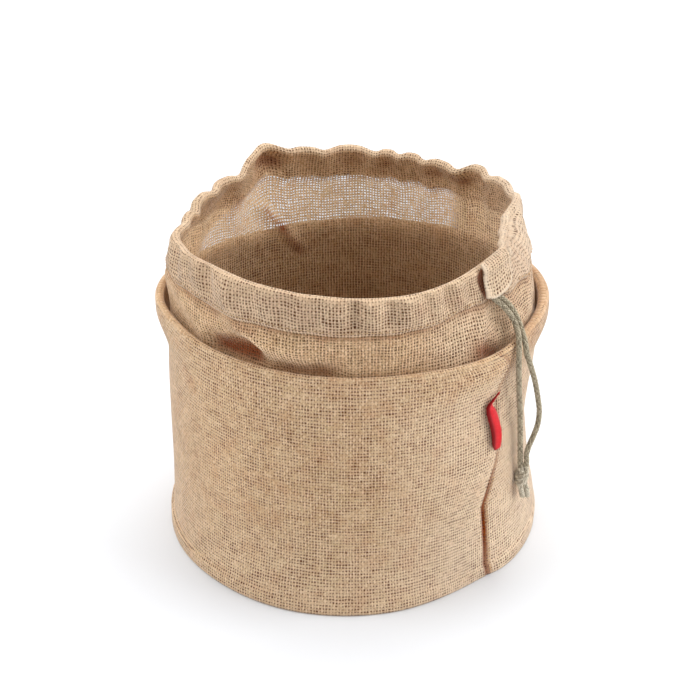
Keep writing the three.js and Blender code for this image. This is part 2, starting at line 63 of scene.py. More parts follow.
# %% Camera
lens = bpy.data.cameras.new("long_lens")
lens.lens = 90
lens.sensor_width = 36
camera = bpy.data.objects.new("camera", lens)
camera.location = (-0.0012, -1.0, 0.69)
camera.rotation_euler = (math.radians(60.33), 0, 0)
scene.collection.objects.link(camera)
scene.camera = camera
scene.view_settings.view_transform = "Standard"

# %% [markdown]
# ## One helper for every node
# Materials and Geometry Nodes are both trees of nodes, so one small function serves both. It adds
# a node, sets its settings, links or sets its inputs, and gives back one of its outputs. A chain
# of nodes then reads like a sum.

# %% Node and colour helpers
FAMILIES = ("ShaderNode", "GeometryNode", "FunctionNode", "Node")
COLOURS = {"data_type": "RGBA", "out": 2}  # settings of a Mix node that blends colours


def node(tree, kind, *inputs, out=0, named=None, **settings):
    """Adds a node and gives one of its outputs. Its kind goes without its family's name. Inputs
    are outputs of other nodes, or values: None leaves one as it is, a list joins several, "named"
    gives them by name or number, and text as the first one is the node's operation."""
    family = next(family for family in FAMILIES if hasattr(bpy.types, family + kind))
    made = tree.nodes.new(family + kind)
    if inputs and isinstance(inputs[0], str):
        settings["operation"], *inputs = inputs
    for setting, value in settings.items():
        setattr(made, setting, value)
    for key, value in [*enumerate(inputs), *(named or {}).items()]:
        for one in value if isinstance(value, list) else [value]:
            if isinstance(one, bpy.types.NodeSocket):
                tree.links.new(one, made.inputs[key])
            elif one is not None:
                made.inputs[key].default_value = one
    return made.outputs[out] if made.outputs else None


def linear(hex_colour):
    """A colour of the form "rrggbb" in sRGB, as the linear red, green, blue and alpha of Blender."""
    channels = [int(hex_colour[i : i + 2], 16) / 255 for i in (0, 2, 4)]
    return *(c / 12.92 if c <= 0.04045 else ((c + 0.055) / 1.055) ** 2.4 for c in channels), 1


def new_material(name):
    """An empty material, and the helper that adds nodes to it."""
    material = bpy.data.materials.new(name)
    material.use_nodes = True
    material.node_tree.nodes.clear()
    return material, partial(node, material.node_tree)


# %% [markdown]
# ## Drawstring: its route
# The drawstring is a round braided cord of 3.6 mm. It runs round the casing, and its two ends come
# out of a slit at the front right. They drop over the rim of the sleeve and are tied together 60 mm
# above the floor. A limp cord is best drawn as a route of given points: close together where it bends
# over the rim, far apart where it hangs. A centripetal curve through them never overshoots between
# points that lie at uneven distances.

# %% Route of the two strands, in metres
LEFT_STRAND = [
    (0.0720, -0.0736, 0.2084), (0.0746, -0.0702, 0.2087), (0.0765, -0.0687, 0.2083),
    (0.0782, -0.0680, 0.2072), (0.0795, -0.0684, 0.2055), (0.0813, -0.0697, 0.2025),
    (0.0833, -0.0709, 0.1993), (0.0859, -0.0716, 0.1960), (0.0891, -0.0712, 0.1933),
    (0.0934, -0.0701, 0.1881), (0.0977, -0.0683, 0.1809), (0.1001, -0.0695, 0.1753),
    (0.1011, -0.0734, 0.1719), (0.1012, -0.0773, 0.1692), (0.1012, -0.0797, 0.1657),
    (0.1013, -0.0800, 0.1589), (0.1021, -0.0778, 0.1470), (0.1033, -0.0744, 0.1321),
    (0.1048, -0.0703, 0.1173), (0.1062, -0.0659, 0.0998), (0.1072, -0.0635, 0.0832),
    (0.1080, -0.0616, 0.0692),
]
RIGHT_STRAND = [
    (0.0856, -0.0557, 0.2095), (0.0831, -0.0596, 0.2093), (0.0819, -0.0616, 0.2089),
    (0.0816, -0.0634, 0.2077), (0.0824, -0.0648, 0.2060), (0.0841, -0.0662, 0.2027),
    (0.0859, -0.0674, 0.1998), (0.0878, -0.0683, 0.1976), (0.0914, -0.0672, 0.1940),
    (0.0954, -0.0659, 0.1890), (0.0989, -0.0647, 0.1832), (0.1018, -0.0649, 0.1767),
    (0.1037, -0.0683, 0.1721), (0.1048, -0.0719, 0.1692), (0.1055, -0.0748, 0.1665),
    (0.1062, -0.0755, 0.1619), (0.1087, -0.0729, 0.1534), (0.1134, -0.0658, 0.1364),
    (0.1170, -0.0607, 0.1188), (0.1185, -0.0578, 0.1081), (0.1179, -0.0575, 0.0982),
    (0.1151, -0.0608, 0.0913), (0.1126, -0.0631, 0.0860), (0.1112, -0.0644, 0.0807),
    (0.1117, -0.0627, 0.0748), (0.1118, -0.0602, 0.0692),
]


def resample(points, step):
    """Points about one step apart on the same line."""
    along = np.concatenate([[0], np.cumsum(np.linalg.norm(np.diff(points, axis=0), axis=1))])
    places = np.linspace(0, along[-1], max(2, round(along[-1] / step)) + 1)
    return np.stack([np.interp(places, along, points[:, axis]) for axis in range(3)], 1)


def smooth_line(points, step):
    """A centripetal curve through the points, as a line of even steps."""
    points = np.array(points, float)
    ends = 2 * points[[0, -1]] - points[[1, -2]]
    points = np.vstack([ends[:1], points, ends[1:]])
    line = [points[1:2]]
    for a, b, c, d in zip(points, points[1:], points[2:], points[3:]):
        knots = np.cumsum([0, *(np.linalg.norm(q - p) ** 0.5 for p, q in ((a, b), (b, c), (c, d)))])
        t = np.linspace(knots[1], knots[2], 25)[1:, None]

        def between(p, q, i, j):
            return p + (q - p) * (t - knots[i]) / (knots[j] - knots[i])

        ab, bc, cd = between(a, b, 0, 1), between(b, c, 1, 2), between(c, d, 2, 3)
        line.append(between(between(ab, bc, 0, 2), between(bc, cd, 1, 3), 1, 2))
    return resample(np.vstack(line), step)


def length_of(line):
    return float(np.linalg.norm(np.diff(line, axis=0), axis=1).sum())


BRAID_STEP = 0.0004
left_line = smooth_line(LEFT_STRAND, BRAID_STEP)
right_line = smooth_line(RIGHT_STRAND, BRAID_STEP)
print(f"strands: left {length_of(left_line):.3f} m, right {length_of(right_line):.3f} m")

# %% [markdown]
# ## Drawstring: the braid
# A braiding machine sends bobbins round in both directions, each crossing over and under those
# that come the other way. That is a rule, so Geometry Nodes make it: the centre line is copied
# once for each bobbin, and each copy is pushed out along a helix. Its radius swells where it
# passes over and shrinks where it passes under. A thin core closes the view through the cord.
# The tree ends by realizing its instances and setting the material, because an exported mesh
# keeps neither instances nor modifiers.

# %% Tree of the braid
SOCKETS = {float: "Float", int: "Int", tuple: "Vector", type(None): "Material"}


def new_geometry_tree(name, sizes):
    """A tree with a named input for each size, those inputs, and the helper that adds nodes."""
    tree = bpy.data.node_groups.new(name, "GeometryNodeTree")
    for way in ("INPUT", "OUTPUT"):
        tree.interface.new_socket("Geometry", in_out=way, socket_type="NodeSocketGeometry")
    for title, value in sizes.items():
        kind = "NodeSocket" + SOCKETS[type(value)]
        socket = tree.interface.new_socket(title, in_out="INPUT", socket_type=kind)
        if value is not None:
            socket.default_value = value
    add = partial(node, tree)
    return tree, add("GroupInput").node.outputs, add


def end_geometry_tree(add, geometry, material):
    """Smooth shading, realized instances and the material, then the tree's output."""
    real = add("RealizeInstances", add("SetShadeSmooth", geometry))
    add("GroupOutput", add("SetMaterial", real, named={"Material": material}))


def braid_tree():
    """Bobbins that run both ways round a centre line, over and under each other."""
    tree, given, add = new_geometry_tree("braid", {
        "Step": BRAID_STEP, "Lead": 0.0145, "Bobbins each way": 6, "Ring radius": 0.00122,
        "Swell": 0.0003, "Strand radius": 0.00043, "Core radius": 0.00105, "Material": None,
    })
    bobbins = given["Bobbins each way"]
    line = add("ResampleCurve", given["Geometry"], mode="LENGTH", named={"Length": given["Step"]})
    line = add("SetCurveNormal", line, mode="MINIMUM_TWIST")
    copies = add("DuplicateElements", line, domain="SPLINE",
                 named={"Amount": add("Math", "MULTIPLY", bobbins, 2)})
    bobbin = copies.node.outputs["Duplicate Index"]
    way = add("Math", "MULTIPLY_ADD", add("Math", "MODULO", bobbin, 2), -2, 1)
    place = add("Math", "FLOOR", add("Math", "DIVIDE", bobbin, 2))
    start = add("Math", "MULTIPLY", add("Math", "DIVIDE", place, bobbins), math.tau)
    along = add("SplineParameter", out=1)
    turn = add("Math", "MULTIPLY", add("Math", "DIVIDE", along, given["Lead"]), math.tau)
    angle = add("Math", "MULTIPLY_ADD", turn, way, start)
    crossing = add("Math", "COSINE", add("Math", "MULTIPLY", angle, bobbins))
    swell = add("Math", "MULTIPLY", add("Math", "MULTIPLY", crossing, way), given["Swell"])
    radius = add("Math", "ADD", given["Ring radius"], swell)
    normal = add("InputNormal")
    side = add("VectorMath", "CROSS_PRODUCT", add("InputTangent"), normal)
    offsets = []
    for axis, share in ((normal, "COSINE"), (side, "SINE")):
        reach = add("Math", "MULTIPLY", radius, add("Math", share, angle))
        offsets.append(add("VectorMath", "SCALE", axis, named={"Scale": reach}))
    moved = add("SetPosition", copies, named={"Offset": add("VectorMath", "ADD", *offsets)})
    marked = add("StoreNamedAttribute", moved, None, "strand", add("Math", "ADD", bobbin, 1),
                 domain="POINT")
    tubes = []
    for path, sides, size in ((line, 8, "Core radius"), (marked, 5, "Strand radius")):
        section = add("CurvePrimitiveCircle", sides, named={"Radius": given[size]})
        tubes.append(add("CurveToMesh", path, section, named={"Fill Caps": True}))
    end_geometry_tree(add, add("JoinGeometry", tubes), given["Material"])
    return tree


BRAID = braid_tree()
print("braid tree:", len(BRAID.nodes), "nodes")

# %% [markdown]
# ## Drawstring: its finish
# The cord is textured polyester, dull grey with a touch of green. Each strand is a bundle of fine
# filaments, so it has a soft gloss rather than a shine, and every bobbin is dyed a hair lighter or
# darker. Fine noise along the cord stands for the filaments. The knot has a paler copy of the same
# cloth: painted light, standing in for the light that its tightly bent strands catch.

# %% Material of the cord
def braided_polyester(name, dark, light):
    """Dull grey braided polyester: soft gloss, a slight change of tone from bobbin to bobbin."""
    material, add = new_material(name)
    strand = add("Attribute", attribute_name="strand", out=2)
    tone = add("TexWhiteNoise", named={"W": strand}, noise_dimensions="1D")
    filaments = add("TexNoise", add("TexCoord", out=3), named={"Scale": 2600.0, "Detail": 2.0})
    share = add("Math", "MULTIPLY_ADD", filaments, 0.45, add("Math", "MULTIPLY", tone, 0.6))
    colour = add("Mix", share, **COLOURS, named={6: linear(dark), 7: linear(light)})
    # The core is painted dark: painted shade inside the braid, between its strands.
    on_core = add("Math", "LESS_THAN", strand, 0.5)
    colour = add("Mix", on_core, **COLOURS, named={6: colour, 7: linear("3a3327")})
    bump = add("Bump", named={"Height": filaments, "Distance": 0.00008})
    surface = add("BsdfPrincipled", colour, named={
        "Roughness": 0.6, "Normal": bump, "Specular IOR Level": 0.3})
    add("OutputMaterial", surface)
    return material


POLYESTER = braided_polyester("braided polyester cord", "60533e", "d6c9ae")
# The knot's copy of the cloth is painted lighter: painted light.
LIGHTER_PAINTED_POLYESTER = braided_polyester("braided polyester cord opened by a knot", "8a7d66", "f4ead6")


# %% Make the two strands
def curve_object(name, lines):
    """A curve object of straight-stepped splines, one for each line of points."""
    data = bpy.data.curves.new(name, "CURVE")
    data.dimensions = "3D"
    for line in lines:
        spline = data.splines.new("POLY")
        spline.points.add(len(line) - 1)
        spline.points.foreach_set("co", np.hstack([line, np.ones((len(line), 1))]).ravel())
    made = bpy.data.objects.new(name, data)
    scene.collection.objects.link(made)
    return made


def grow(name, source, tree, **sizes):
    """Runs a tree on an object, and gives its result as a plain mesh object. The source goes."""
    modifier = source.modifiers.new(name, "NODES")
    modifier.node_group = tree
    for item in tree.interface.items_tree:
        size = sizes.get(item.name.replace(" ", "_").lower())
        if item.in_out == "INPUT" and size is not None:
            modifier[item.identifier] = size
    bpy.context.view_layer.update()
    evaluated = source.evaluated_get(bpy.context.evaluated_depsgraph_get())
    made = bpy.data.objects.new(name, bpy.data.meshes.new_from_object(evaluated))
    source.modifiers.remove(modifier)
    bpy.data.objects.remove(source)
    scene.collection.objects.link(made)
    triangles = sum(len(face.vertices) - 2 for face in made.data.polygons)
    print(f"{name}: {triangles} triangles")
    return made


def stand_in(piece, cad_node):
    """Rides a piece on the bag's one body, in the place of a CAD node, whose solid it hides."""
    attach(piece, "root")
    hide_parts(cad_node)


left_strand, right_strand = (
    grow(name, curve_object("route", [line]), BRAID, material=POLYESTER)
    for name, line in (("drawstring_left", left_line), ("drawstring_right", right_line))
)

# %% [markdown]
# ## Drawstring: the knot
# Both ends are tied in one overhand knot, drawn tight, with two tails of 12 mm below it. One
# strand goes nearly straight through, and the other winds round both. The same braid tree runs
# along both lines, so the wraps of the knot show real cord and not a lump.

# %% Knot and tails
KNOT_CENTRE = np.array([0.1096, -0.0590, 0.0616])
KNOT_BEARING = math.atan2(KNOT_CENTRE[0], -KNOT_CENTRE[1])
KNOT_SIDE = np.array([math.cos(KNOT_BEARING), math.sin(KNOT_BEARING), 0])
KNOT_OUT = np.array([math.sin(KNOT_BEARING), -math.cos(KNOT_BEARING), 0])
WRAP = {"turns": 1.75, "wide": 0.0034, "deep": 0.0028, "top": 0.0032, "pitch": 0.0040,
        "slope": 0.6}
LEFT_TAIL = [(0.1083, -0.0616, 0.0565), (0.1095, -0.0604, 0.0505), (0.1109, -0.0590, 0.0446)]
RIGHT_TAIL = [(0.1120, -0.0580, 0.0565), (0.1131, -0.0575, 0.0500), (0.1141, -0.0572, 0.0434)]


def in_knot(side, out, up):
    """A point of the knot, from its middle: to the right, away from the bag, and up."""
    return KNOT_CENTRE + KNOT_SIDE * side + KNOT_OUT * out + np.array([0, 0, up])


def knot_lines():
    """Centre lines of the straight strand and of the one that winds round it."""
    straight = [LEFT_STRAND[-2], LEFT_STRAND[-1], in_knot(-0.0014, 0.0002, 0.0035),
                in_knot(-0.0012, -0.0004, -0.0010), *LEFT_TAIL]
    wound = [RIGHT_STRAND[-2], RIGHT_STRAND[-1]]
    steps = 12
    for i in range(int(WRAP["turns"] * steps) + 1):
        angle = 2 * math.pi * i / steps
        side = WRAP["wide"] * math.cos(angle)
        up = WRAP["top"] - WRAP["pitch"] * i / steps + WRAP["slope"] * side
        wound.append(in_knot(side, WRAP["deep"] * math.sin(angle), up))
    wound += [in_knot(0.0016, 0.0, -0.0052), *RIGHT_TAIL[1:]]
    lines = [smooth_line(points, BRAID_STEP) for points in (straight, wound)]
    return [line[line[:, 2] < LEFT_STRAND[-1][2] + 0.0004] for line in lines]


knot = grow("drawstring_knot", curve_object("route", knot_lines()), BRAID, material=LIGHTER_PAINTED_POLYESTER)
stand_in(knot, "knot")
for strand, line, cad_node in (
    (left_strand, left_line, "cord_left"), (right_strand, right_line, "cord_right")
):
    stand_in(strand, cad_node)

# %% [markdown]
# ## Curves that the cloth follows
# The bag is drawn as a tailor would unroll it: round the bag by bearing, in degrees, with 0 at the
# front, 90 at the right and -90 at the left, and up it by height. A few short tables give the
# rim, the foot, the seam, the gathers and the folds, with a row for each. They start from those
# of the CAD source, and stay within a few millimetres of them. Smooth curves join the rows.

# %% Table helpers
def table(columns, rows):
    """A table as a dict of columns."""
    return dict(zip(columns.split(), np.array(rows, float).T))


def wrap(degrees):
    return (degrees + 180) % 360 - 180


def lerp(a, b, t):
    return a + (b - a) * t


def smooth(value, start, end):
    """0 below start, 1 above end, and an S-curve between them."""
    t = np.clip((value - start) / (end - start), 0, 1)
    return t * t * (3 - 2 * t)


def band(value, start, full, fade, end):
    """1 between full and fade, 0 outside start and end, and S-curves between them."""
    return smooth(value, start, full) * (1 - smooth(value, fade, end))


def hump(away, width):
    """A soft hump of height 1, from how far a place lies away from its middle."""
    return np.exp(-((away / width) ** 2))


def hermite(x, y, at):
    """A smooth curve through the points (x, y), at any place between the second and last but one."""
    i = np.clip(np.searchsorted(x, at, side="right") - 1, 1, len(x) - 3)
    h = x[i + 1] - x[i]
    t = (at - x[i]) / h
    slope_0 = (y[i + 1] - y[i - 1]) / (x[i + 1] - x[i - 1]) * h
    slope_1 = (y[i + 2] - y[i]) / (x[i + 2] - x[i]) * h
    ends = (2 * t**3 - 3 * t**2 + 1) * y[i] + (3 * t**2 - 2 * t**3) * y[i + 1]
    return ends + (t**3 - 2 * t**2 + t) * slope_0 + (t**3 - t**2) * slope_1


def ring_curve(rows, column):
    """A smooth curve of one column right round the bag."""
    order = np.argsort(rows["bearing"])
    x, y = rows["bearing"][order], rows[column][order]
    x_round = np.concatenate([x[-1:] - 360, x, x[:2] + 360])
    y_round = np.concatenate([y[-1:], y, y[:2]])
    return lambda bearing: hermite(x_round, y_round, (bearing - x[0]) % 360 + x[0])


def open_curve(rows, key, column):
    """A smooth curve of one column against another, level with its two end points."""
    x, y = rows[key], rows[column]
    x_long = np.concatenate([x[:1] - 1, x, x[-1:] + 1])
    y_long = np.concatenate([y[:1], y, y[-1:]])
    return lambda at: hermite(x_long, y_long, np.clip(at, x[0], x[-1]))


def fold_depth(folds, bearing, height):
    """How far the folds push the cloth inwards. A fold is a soft trough along a straight line."""
    depth = np.zeros(np.broadcast(bearing, height).shape)
    for i in range(len(folds["bearing"])):
        u = wrap(bearing - folds["bearing"][i]) * FOLD_SCALE
        v = height - folds["height"][i]
        du = wrap(folds["to_bearing"][i] - folds["bearing"][i]) * FOLD_SCALE
        dv = folds["to_height"][i] - folds["height"][i]
        t = np.clip((u * du + v * dv) / max(du * du + dv * dv, 1e-9), 0, 1)
        away = (u - t * du) ** 2 + (v - t * dv) ** 2
        depth = depth + folds["depth"][i] * np.exp(-away / folds["width"][i] ** 2)
    return depth


# %% Tables of the sleeve, in millimetres and degrees
FOLD_SCALE = 2.0  # millimetres of cloth for each degree round the bag
FOLD_COLUMNS = "bearing height to_bearing to_height width depth"
SLEEVE_RIM = table("bearing top radius", [
    (-180, 160.5, 120), (-155, 159, 119), (-135, 161.5, 118.5), (-113, 164.5, 120.5),
    (-95, 169, 125), (-80, 170.5, 126.2), (-66, 169.5, 122.6), (-50, 168.5, 120.8),
    (-32, 168, 119.4), (-12, 168, 119.2), (6, 168, 119.2), (20, 168, 120.6), (34, 168, 124),
    (48, 168, 126), (60, 169, 125.2), (78, 170.5, 126.8), (95, 170, 125.8), (122, 166, 121.5),
    (150, 162.5, 120.5),
])
SLEEVE_FOOT = table("bearing radius proud", [
    (-180, 125, 1.6), (-135, 125, 1.6), (-90, 123.8, 2.4), (-63, 125.6, 2), (-45, 126.3, 1.4),
    (-30, 127.5, 1.1), (-18, 128.2, 1), (-2, 127.6, 1), (14, 126, 1), (26, 123.4, 0.9),
    (36, 121.8, 0.8), (44, 121.8, 0.8), (52, 125, 1.2), (65, 125.7, 1.4), (90, 124.9, 1.6),
    (135, 125, 1.6),
])
SEAM = table("height bearing", [
    (0, 45.3), (5, 44.8), (10, 44.3), (24, 44.1), (42, 43.4), (50, 42.9), (55.5, 42.5), (59, 42.9),
    (63.5, 43.8), (73, 45.4), (79, 46.8), (85, 48.1), (94.5, 48.8), (111, 48.2), (123, 47.2),
    (133.6, 46.8), (137, 47.5), (143, 48.2), (148, 49), (154, 49.6), (158, 49), (162.5, 47.5),
    (168, 44.8),
])
SLEEVE_FOLDS = table(FOLD_COLUMNS, [
    (84, 80, 84, 95, 26, 7.5), (86, 38, 86, 50, 14, 1), (78, 18, 90, 18, 14, -1.6),
    (-83, 133, -83, 133, 18, 0.8), (-40, 120, -10, 110, 40, 0.8),
])

# %% [markdown]
# ## Sleeve
# The sleeve is one long panel of stiff jute, folded in half along its rim and closed by a lapped
# seam at the front right. It could be a cylinder with a Solidify modifier, but then the turned
# foot, the rim's roll and the seam would all have to be added. Instead it is a closed grid:
# each column is a section of the doubled cloth, up the outside, over the fold and down the inside.
# The left layer of the seam stands proud and ends in a sharp edge with a groove beside it.

# %% Shape of the sleeve
RIM_PUFF = table("bearing puff", [
    (-180, 0.3), (-125, 0.8), (-100, 2.4), (-84, 2.8), (-66, 2), (-40, 1), (-10, 0.7), (20, 0.7),
    (42, 1.2), (60, 2.8), (78, 4.4), (96, 4.4), (112, 2.6), (135, 1.0), (158, 0.4),
])
WALL_RADIUS = 120.3
DOUBLED = 3.0  # thickness of the doubled jute
FOOT_HEIGHT = 7.5
FOOT_FADE = 4.0
FLARE_HEIGHT = 55.0
FLARE_POWER = 1.5
LAP = 0.8  # how proud the seam's left layer stands
LAP_BEARING = 47.5
LAP_FADE = 12.0
WARP_WIDTH = 16
GROOVE = 1.7  # degrees from the lap's edge to the right layer
ROLL = (136, 150, 162)  # heights where the wall's run out to the rim begins, is halfway, and ends
CUT_EDGE = -0.02  # degrees from the seam to the last column of its left layer
GROOVE_DEPTH = 0.8
GROOVE_DEEPEST = (52, 16)  # height, and how far the deeper part runs up and down
DARKEST = (40, 26)
SOFT_TOP = (138, 150)  # heights between which the groove fades into the rim

rim_top = ring_curve(SLEEVE_RIM, "top")
rim_radius = ring_curve(SLEEVE_RIM, "radius")
foot_radius = ring_curve(SLEEVE_FOOT, "radius")
foot_proud = ring_curve(SLEEVE_FOOT, "proud")
rim_puff = ring_curve(RIM_PUFF, "puff")


def sleeve_bearing(column, height):
    """Bearing of a column at a height: the columns beside the seam follow its edge."""
    shift = np.interp(height, SEAM["height"], SEAM["bearing"]) - LAP_BEARING
    return column + shift * hump(wrap(column - LAP_BEARING), WARP_WIDTH)


def foot_step(bearing, height):
    """How far the turned-up foot stands proud."""
    return foot_proud(bearing) * (1 - smooth(height, FOOT_HEIGHT, FOOT_HEIGHT + FOOT_FADE))


def sleeve_radius(bearing, height):
    """Outer radius of the sleeve without its lap."""
    radius = WALL_RADIUS - fold_depth(SLEEVE_FOLDS, bearing, height)
    radius = radius + (rim_radius(bearing) - WALL_RADIUS) * smooth(height, ROLL[0], ROLL[2])
    flare = foot_radius(bearing) - WALL_RADIUS - foot_proud(bearing)
    radius = radius + flare * (1 - smooth(height, 0, FLARE_HEIGHT)) ** FLARE_POWER
    return radius + foot_step(bearing, height)


def seam_profile(column, height):
    """Height of the cloth beside the seam: the lap at its left, a groove, then the right layer."""
    right = wrap(column - LAP_BEARING)
    left_side = right <= CUT_EDGE
    lap = LAP * hump(right, LAP_FADE) * left_side
    rounding = 0.5 * smooth(right, -0.5, CUT_EDGE) * left_side
    uneven = 0.2 * np.sin(height / 3.1)
    depth = GROOVE_DEPTH + 0.4 * hump(height - GROOVE_DEEPEST[0], GROOVE_DEEPEST[1]) + uneven
    depth = depth * (1 - 0.7 * smooth(height, *SOFT_TOP))
    groove = depth * ~left_side * (1 - smooth(right, GROOVE / 2, GROOVE))
    return (lap - rounding - groove) * (0.3 + 0.7 * smooth(height, 0, 6))


def seam_hollow(column, height):
    """How deep a point lies in the seam's groove, from 0 to 1, for the painted shade in its colour.
    """
    wide = GROOVE * (1 - 0.35 * smooth(height, 60, 100))
    inside = band(wrap(column - LAP_BEARING), -0.9, 0.0, 0.8 * wide, 1.7 * wide)
    inside = inside * (0.65 + 0.35 * hump(height - DARKEST[0], DARKEST[1]))
    return inside * (1 - 0.25 * smooth(height, 60, 90)) * (1 - 0.4 * smooth(height, 125, 145))


# %% Helpers that turn a grid of points into a cloth mesh
def around(bearing, radius, height):
    """Points in metres from bearings in degrees, and radii and heights in millimetres."""
    a = np.radians(bearing)
    x, y, z = np.broadcast_arrays(radius * np.sin(a), -radius * np.cos(a), height)
    return np.stack([x, y, z], -1) * MM


def add_object(name, mesh, material):
    """A mesh object at the origin, smooth, with one material."""
    mesh.materials.append(material)
    mesh.polygons.foreach_set("use_smooth", np.ones(len(mesh.polygons), bool))
    made = bpy.data.objects.new(name, mesh)
    scene.collection.objects.link(made)
    return made


def grid_mesh(name, points, uv, round_columns=False, round_rows=False, **marks):
    """A mesh of four-sided faces from points[column, row], with its unrolled place, in
    millimetres, in the UV map. A grid that closes on itself has one more column or row of uv.
    Each mark is a number for each point, which the material reads as an attribute."""
    columns, rows = points.shape[:2]
    i = np.arange(columns if round_columns else columns - 1)[:, None]
    j = np.arange(rows if round_rows else rows - 1)[None, :]
    corners = [(i, j), (i + 1, j), (i + 1, j + 1), (i, j + 1)]
    faces = np.stack([a % columns * rows + b % rows for a, b in corners], -1).reshape(-1, 4)
    mesh = bpy.data.meshes.new(name)
    mesh.from_pydata(points.reshape(-1, 3), [], faces)
    layer = mesh.uv_layers.new(name="cloth")
    places = np.stack([uv[a + 0 * b, b + 0 * a] for a, b in corners], 2)
    layer.data.foreach_set("uv", places.reshape(-1).astype(np.float32))
    for title, values in marks.items():
        values = np.broadcast_to(values, points.shape[:2]).astype(np.float32)
        mesh.attributes.new(title, "FLOAT", "POINT").data.foreach_set("value", values.ravel())
    mesh.validate()
    return mesh


def path_lengths(sections):
    """Mean length along the sections up to each row, in millimetres, from points in metres."""
    steps = np.linalg.norm(np.diff(sections, axis=1), axis=2).mean(0)
    return np.concatenate([[0], np.cumsum(steps)]) / MM


def unroll(u, v):
    """The unrolled places of a grid's columns and rows."""
    return np.stack(np.meshgrid(u, v, indexing="ij"), -1)


# %% Build the sleeve's grid
SLEEVE_WEAVE = (1.88, 2.2)  # millimetres from yarn to yarn, round the bag and up it
SLEEVE_YARNS = 402
SEAM_COLUMNS = (-1.3, -0.8, -0.5, -0.3, -0.15, -0.03, 0.03, 0.3, 0.6, 1.0, 1.4, 1.8)


def sleeve_columns():
    """Bearings of the columns from the seam round to the seam, close together beside it."""
    even = np.linspace(2.2, 360 - 2.2, 410)
    left = [360 + c for c in SEAM_COLUMNS if c < 0]
    right = [c for c in SEAM_COLUMNS if c > 0]
    return LAP_BEARING + np.concatenate([right, even, left])


def sleeve_grid():
    """Points of the sleeve: up its outer face, over the rim, down its inner face, under its foot."""
    column = sleeve_columns()[:, None]
    rim_bearing = sleeve_bearing(column, ROLL[2])
    top = rim_top(rim_bearing)
    half = (DOUBLED + rim_puff(rim_bearing)) / 2
    below = np.concatenate([
        np.linspace(0.9, FOOT_HEIGHT, 6), np.linspace(FOOT_HEIGHT, FOOT_HEIGHT + FOOT_FADE, 6)[1:],
        np.linspace(FOOT_HEIGHT + FOOT_FADE, ROLL[0], 44)[1:],
    ])[None, :] + 0 * column
    rise = lerp(ROLL[0], top - half, np.linspace(0, 1, 14)[None, 1:])
    outer = np.hstack([below, rise])
    bearing = sleeve_bearing(column, outer)
    lap = seam_profile(column, outer)
    parts = [(bearing, sleeve_radius(bearing, outer) + lap, outer)]
    bearing = sleeve_bearing(column, top)
    radius = sleeve_radius(bearing, top)
    angle = np.radians(np.linspace(0, 180, 11))[None, 1:-1]
    swell = lap[:, -1:] / 2 * (1 + np.cos(angle))
    parts.append((bearing + 0 * angle, radius - half + half * np.cos(angle) + swell,
                  top - half + half * np.sin(angle)))
    down = np.hstack([lerp(top - half, 100, np.linspace(0, 1, 18)[None, :]),
                      lerp(100, 1.2, np.linspace(0, 1, 12)[None, 1:]) + 0 * column])
    bearing = sleeve_bearing(column, down)
    inner = sleeve_radius(bearing, down) - foot_step(bearing, down) - DOUBLED
    inner = inner - rim_puff(bearing) * smooth(down, ROLL[1] - 8, top - half)
    parts.append((bearing, inner, down))
    foot = sleeve_bearing(column, 0)
    face = sleeve_radius(foot, 0) + lap[:, :1]
    edge = np.hstack([inner[:, -1:] + 1.0, lerp(inner[:, -1:], face, 0.5), face - 0.9])
    parts.append((foot + 0 * edge, edge, 0 * edge))
    return np.concatenate([around(*part) for part in parts], 1)


sleeve_points = sleeve_grid()
rows_v = path_lengths(np.concatenate([sleeve_points, sleeve_points[:, :1]], 1))
first_right = min(c for c in SEAM_COLUMNS if c > 0)
columns_u = np.concatenate([sleeve_columns(), [LAP_BEARING + 360 + first_right]]) - LAP_BEARING
sleeve_uv = unroll(columns_u * SLEEVE_YARNS * SLEEVE_WEAVE[0] / 360, rows_v)
print("sleeve grid:", sleeve_points.shape[:2], f"path {rows_v[-1]:.0f} mm")


def sleeve_marks():
    """How hollow (painted shade), closed and pale (painted light) the sleeve is at each of its
    points.
    """
    column = sleeve_columns()[:, None]
    height = sleeve_points[..., 2] / MM
    right = wrap(column)
    outward = np.hypot(sleeve_points[..., 0], sleeve_points[..., 1]) / MM
    faces_out = outward > sleeve_radius(column, height) - DOUBLED + 0.2
    right_rim = band(right, 50, 62, 115, 130) * smooth(height, 140, 158)
    # Painted shade: the seam's groove, and a slight darkening along the right of the rim.
    hollow = np.maximum(seam_hollow(column, height) * faces_out, 0.16 * right_rim)
    # Painted light: paler at the front right, and a little paler low down.
    pale = 0.2 * band(right, 0, 40, 120, 160) * (1 - 0.9 * smooth(height, 135, 155))
    pale = pale + 0.09 * (1 - smooth(height, 15, 75))
    flank = band(np.abs(right), 50, 65, 115, 130)
    at_rim = smooth(height, rim_top(column) - 3.5, rim_top(column) - 0.5)
    return {"hollow": hollow, "closed": (0.12 + 0.25 * flank) * at_rim, "pale": pale}
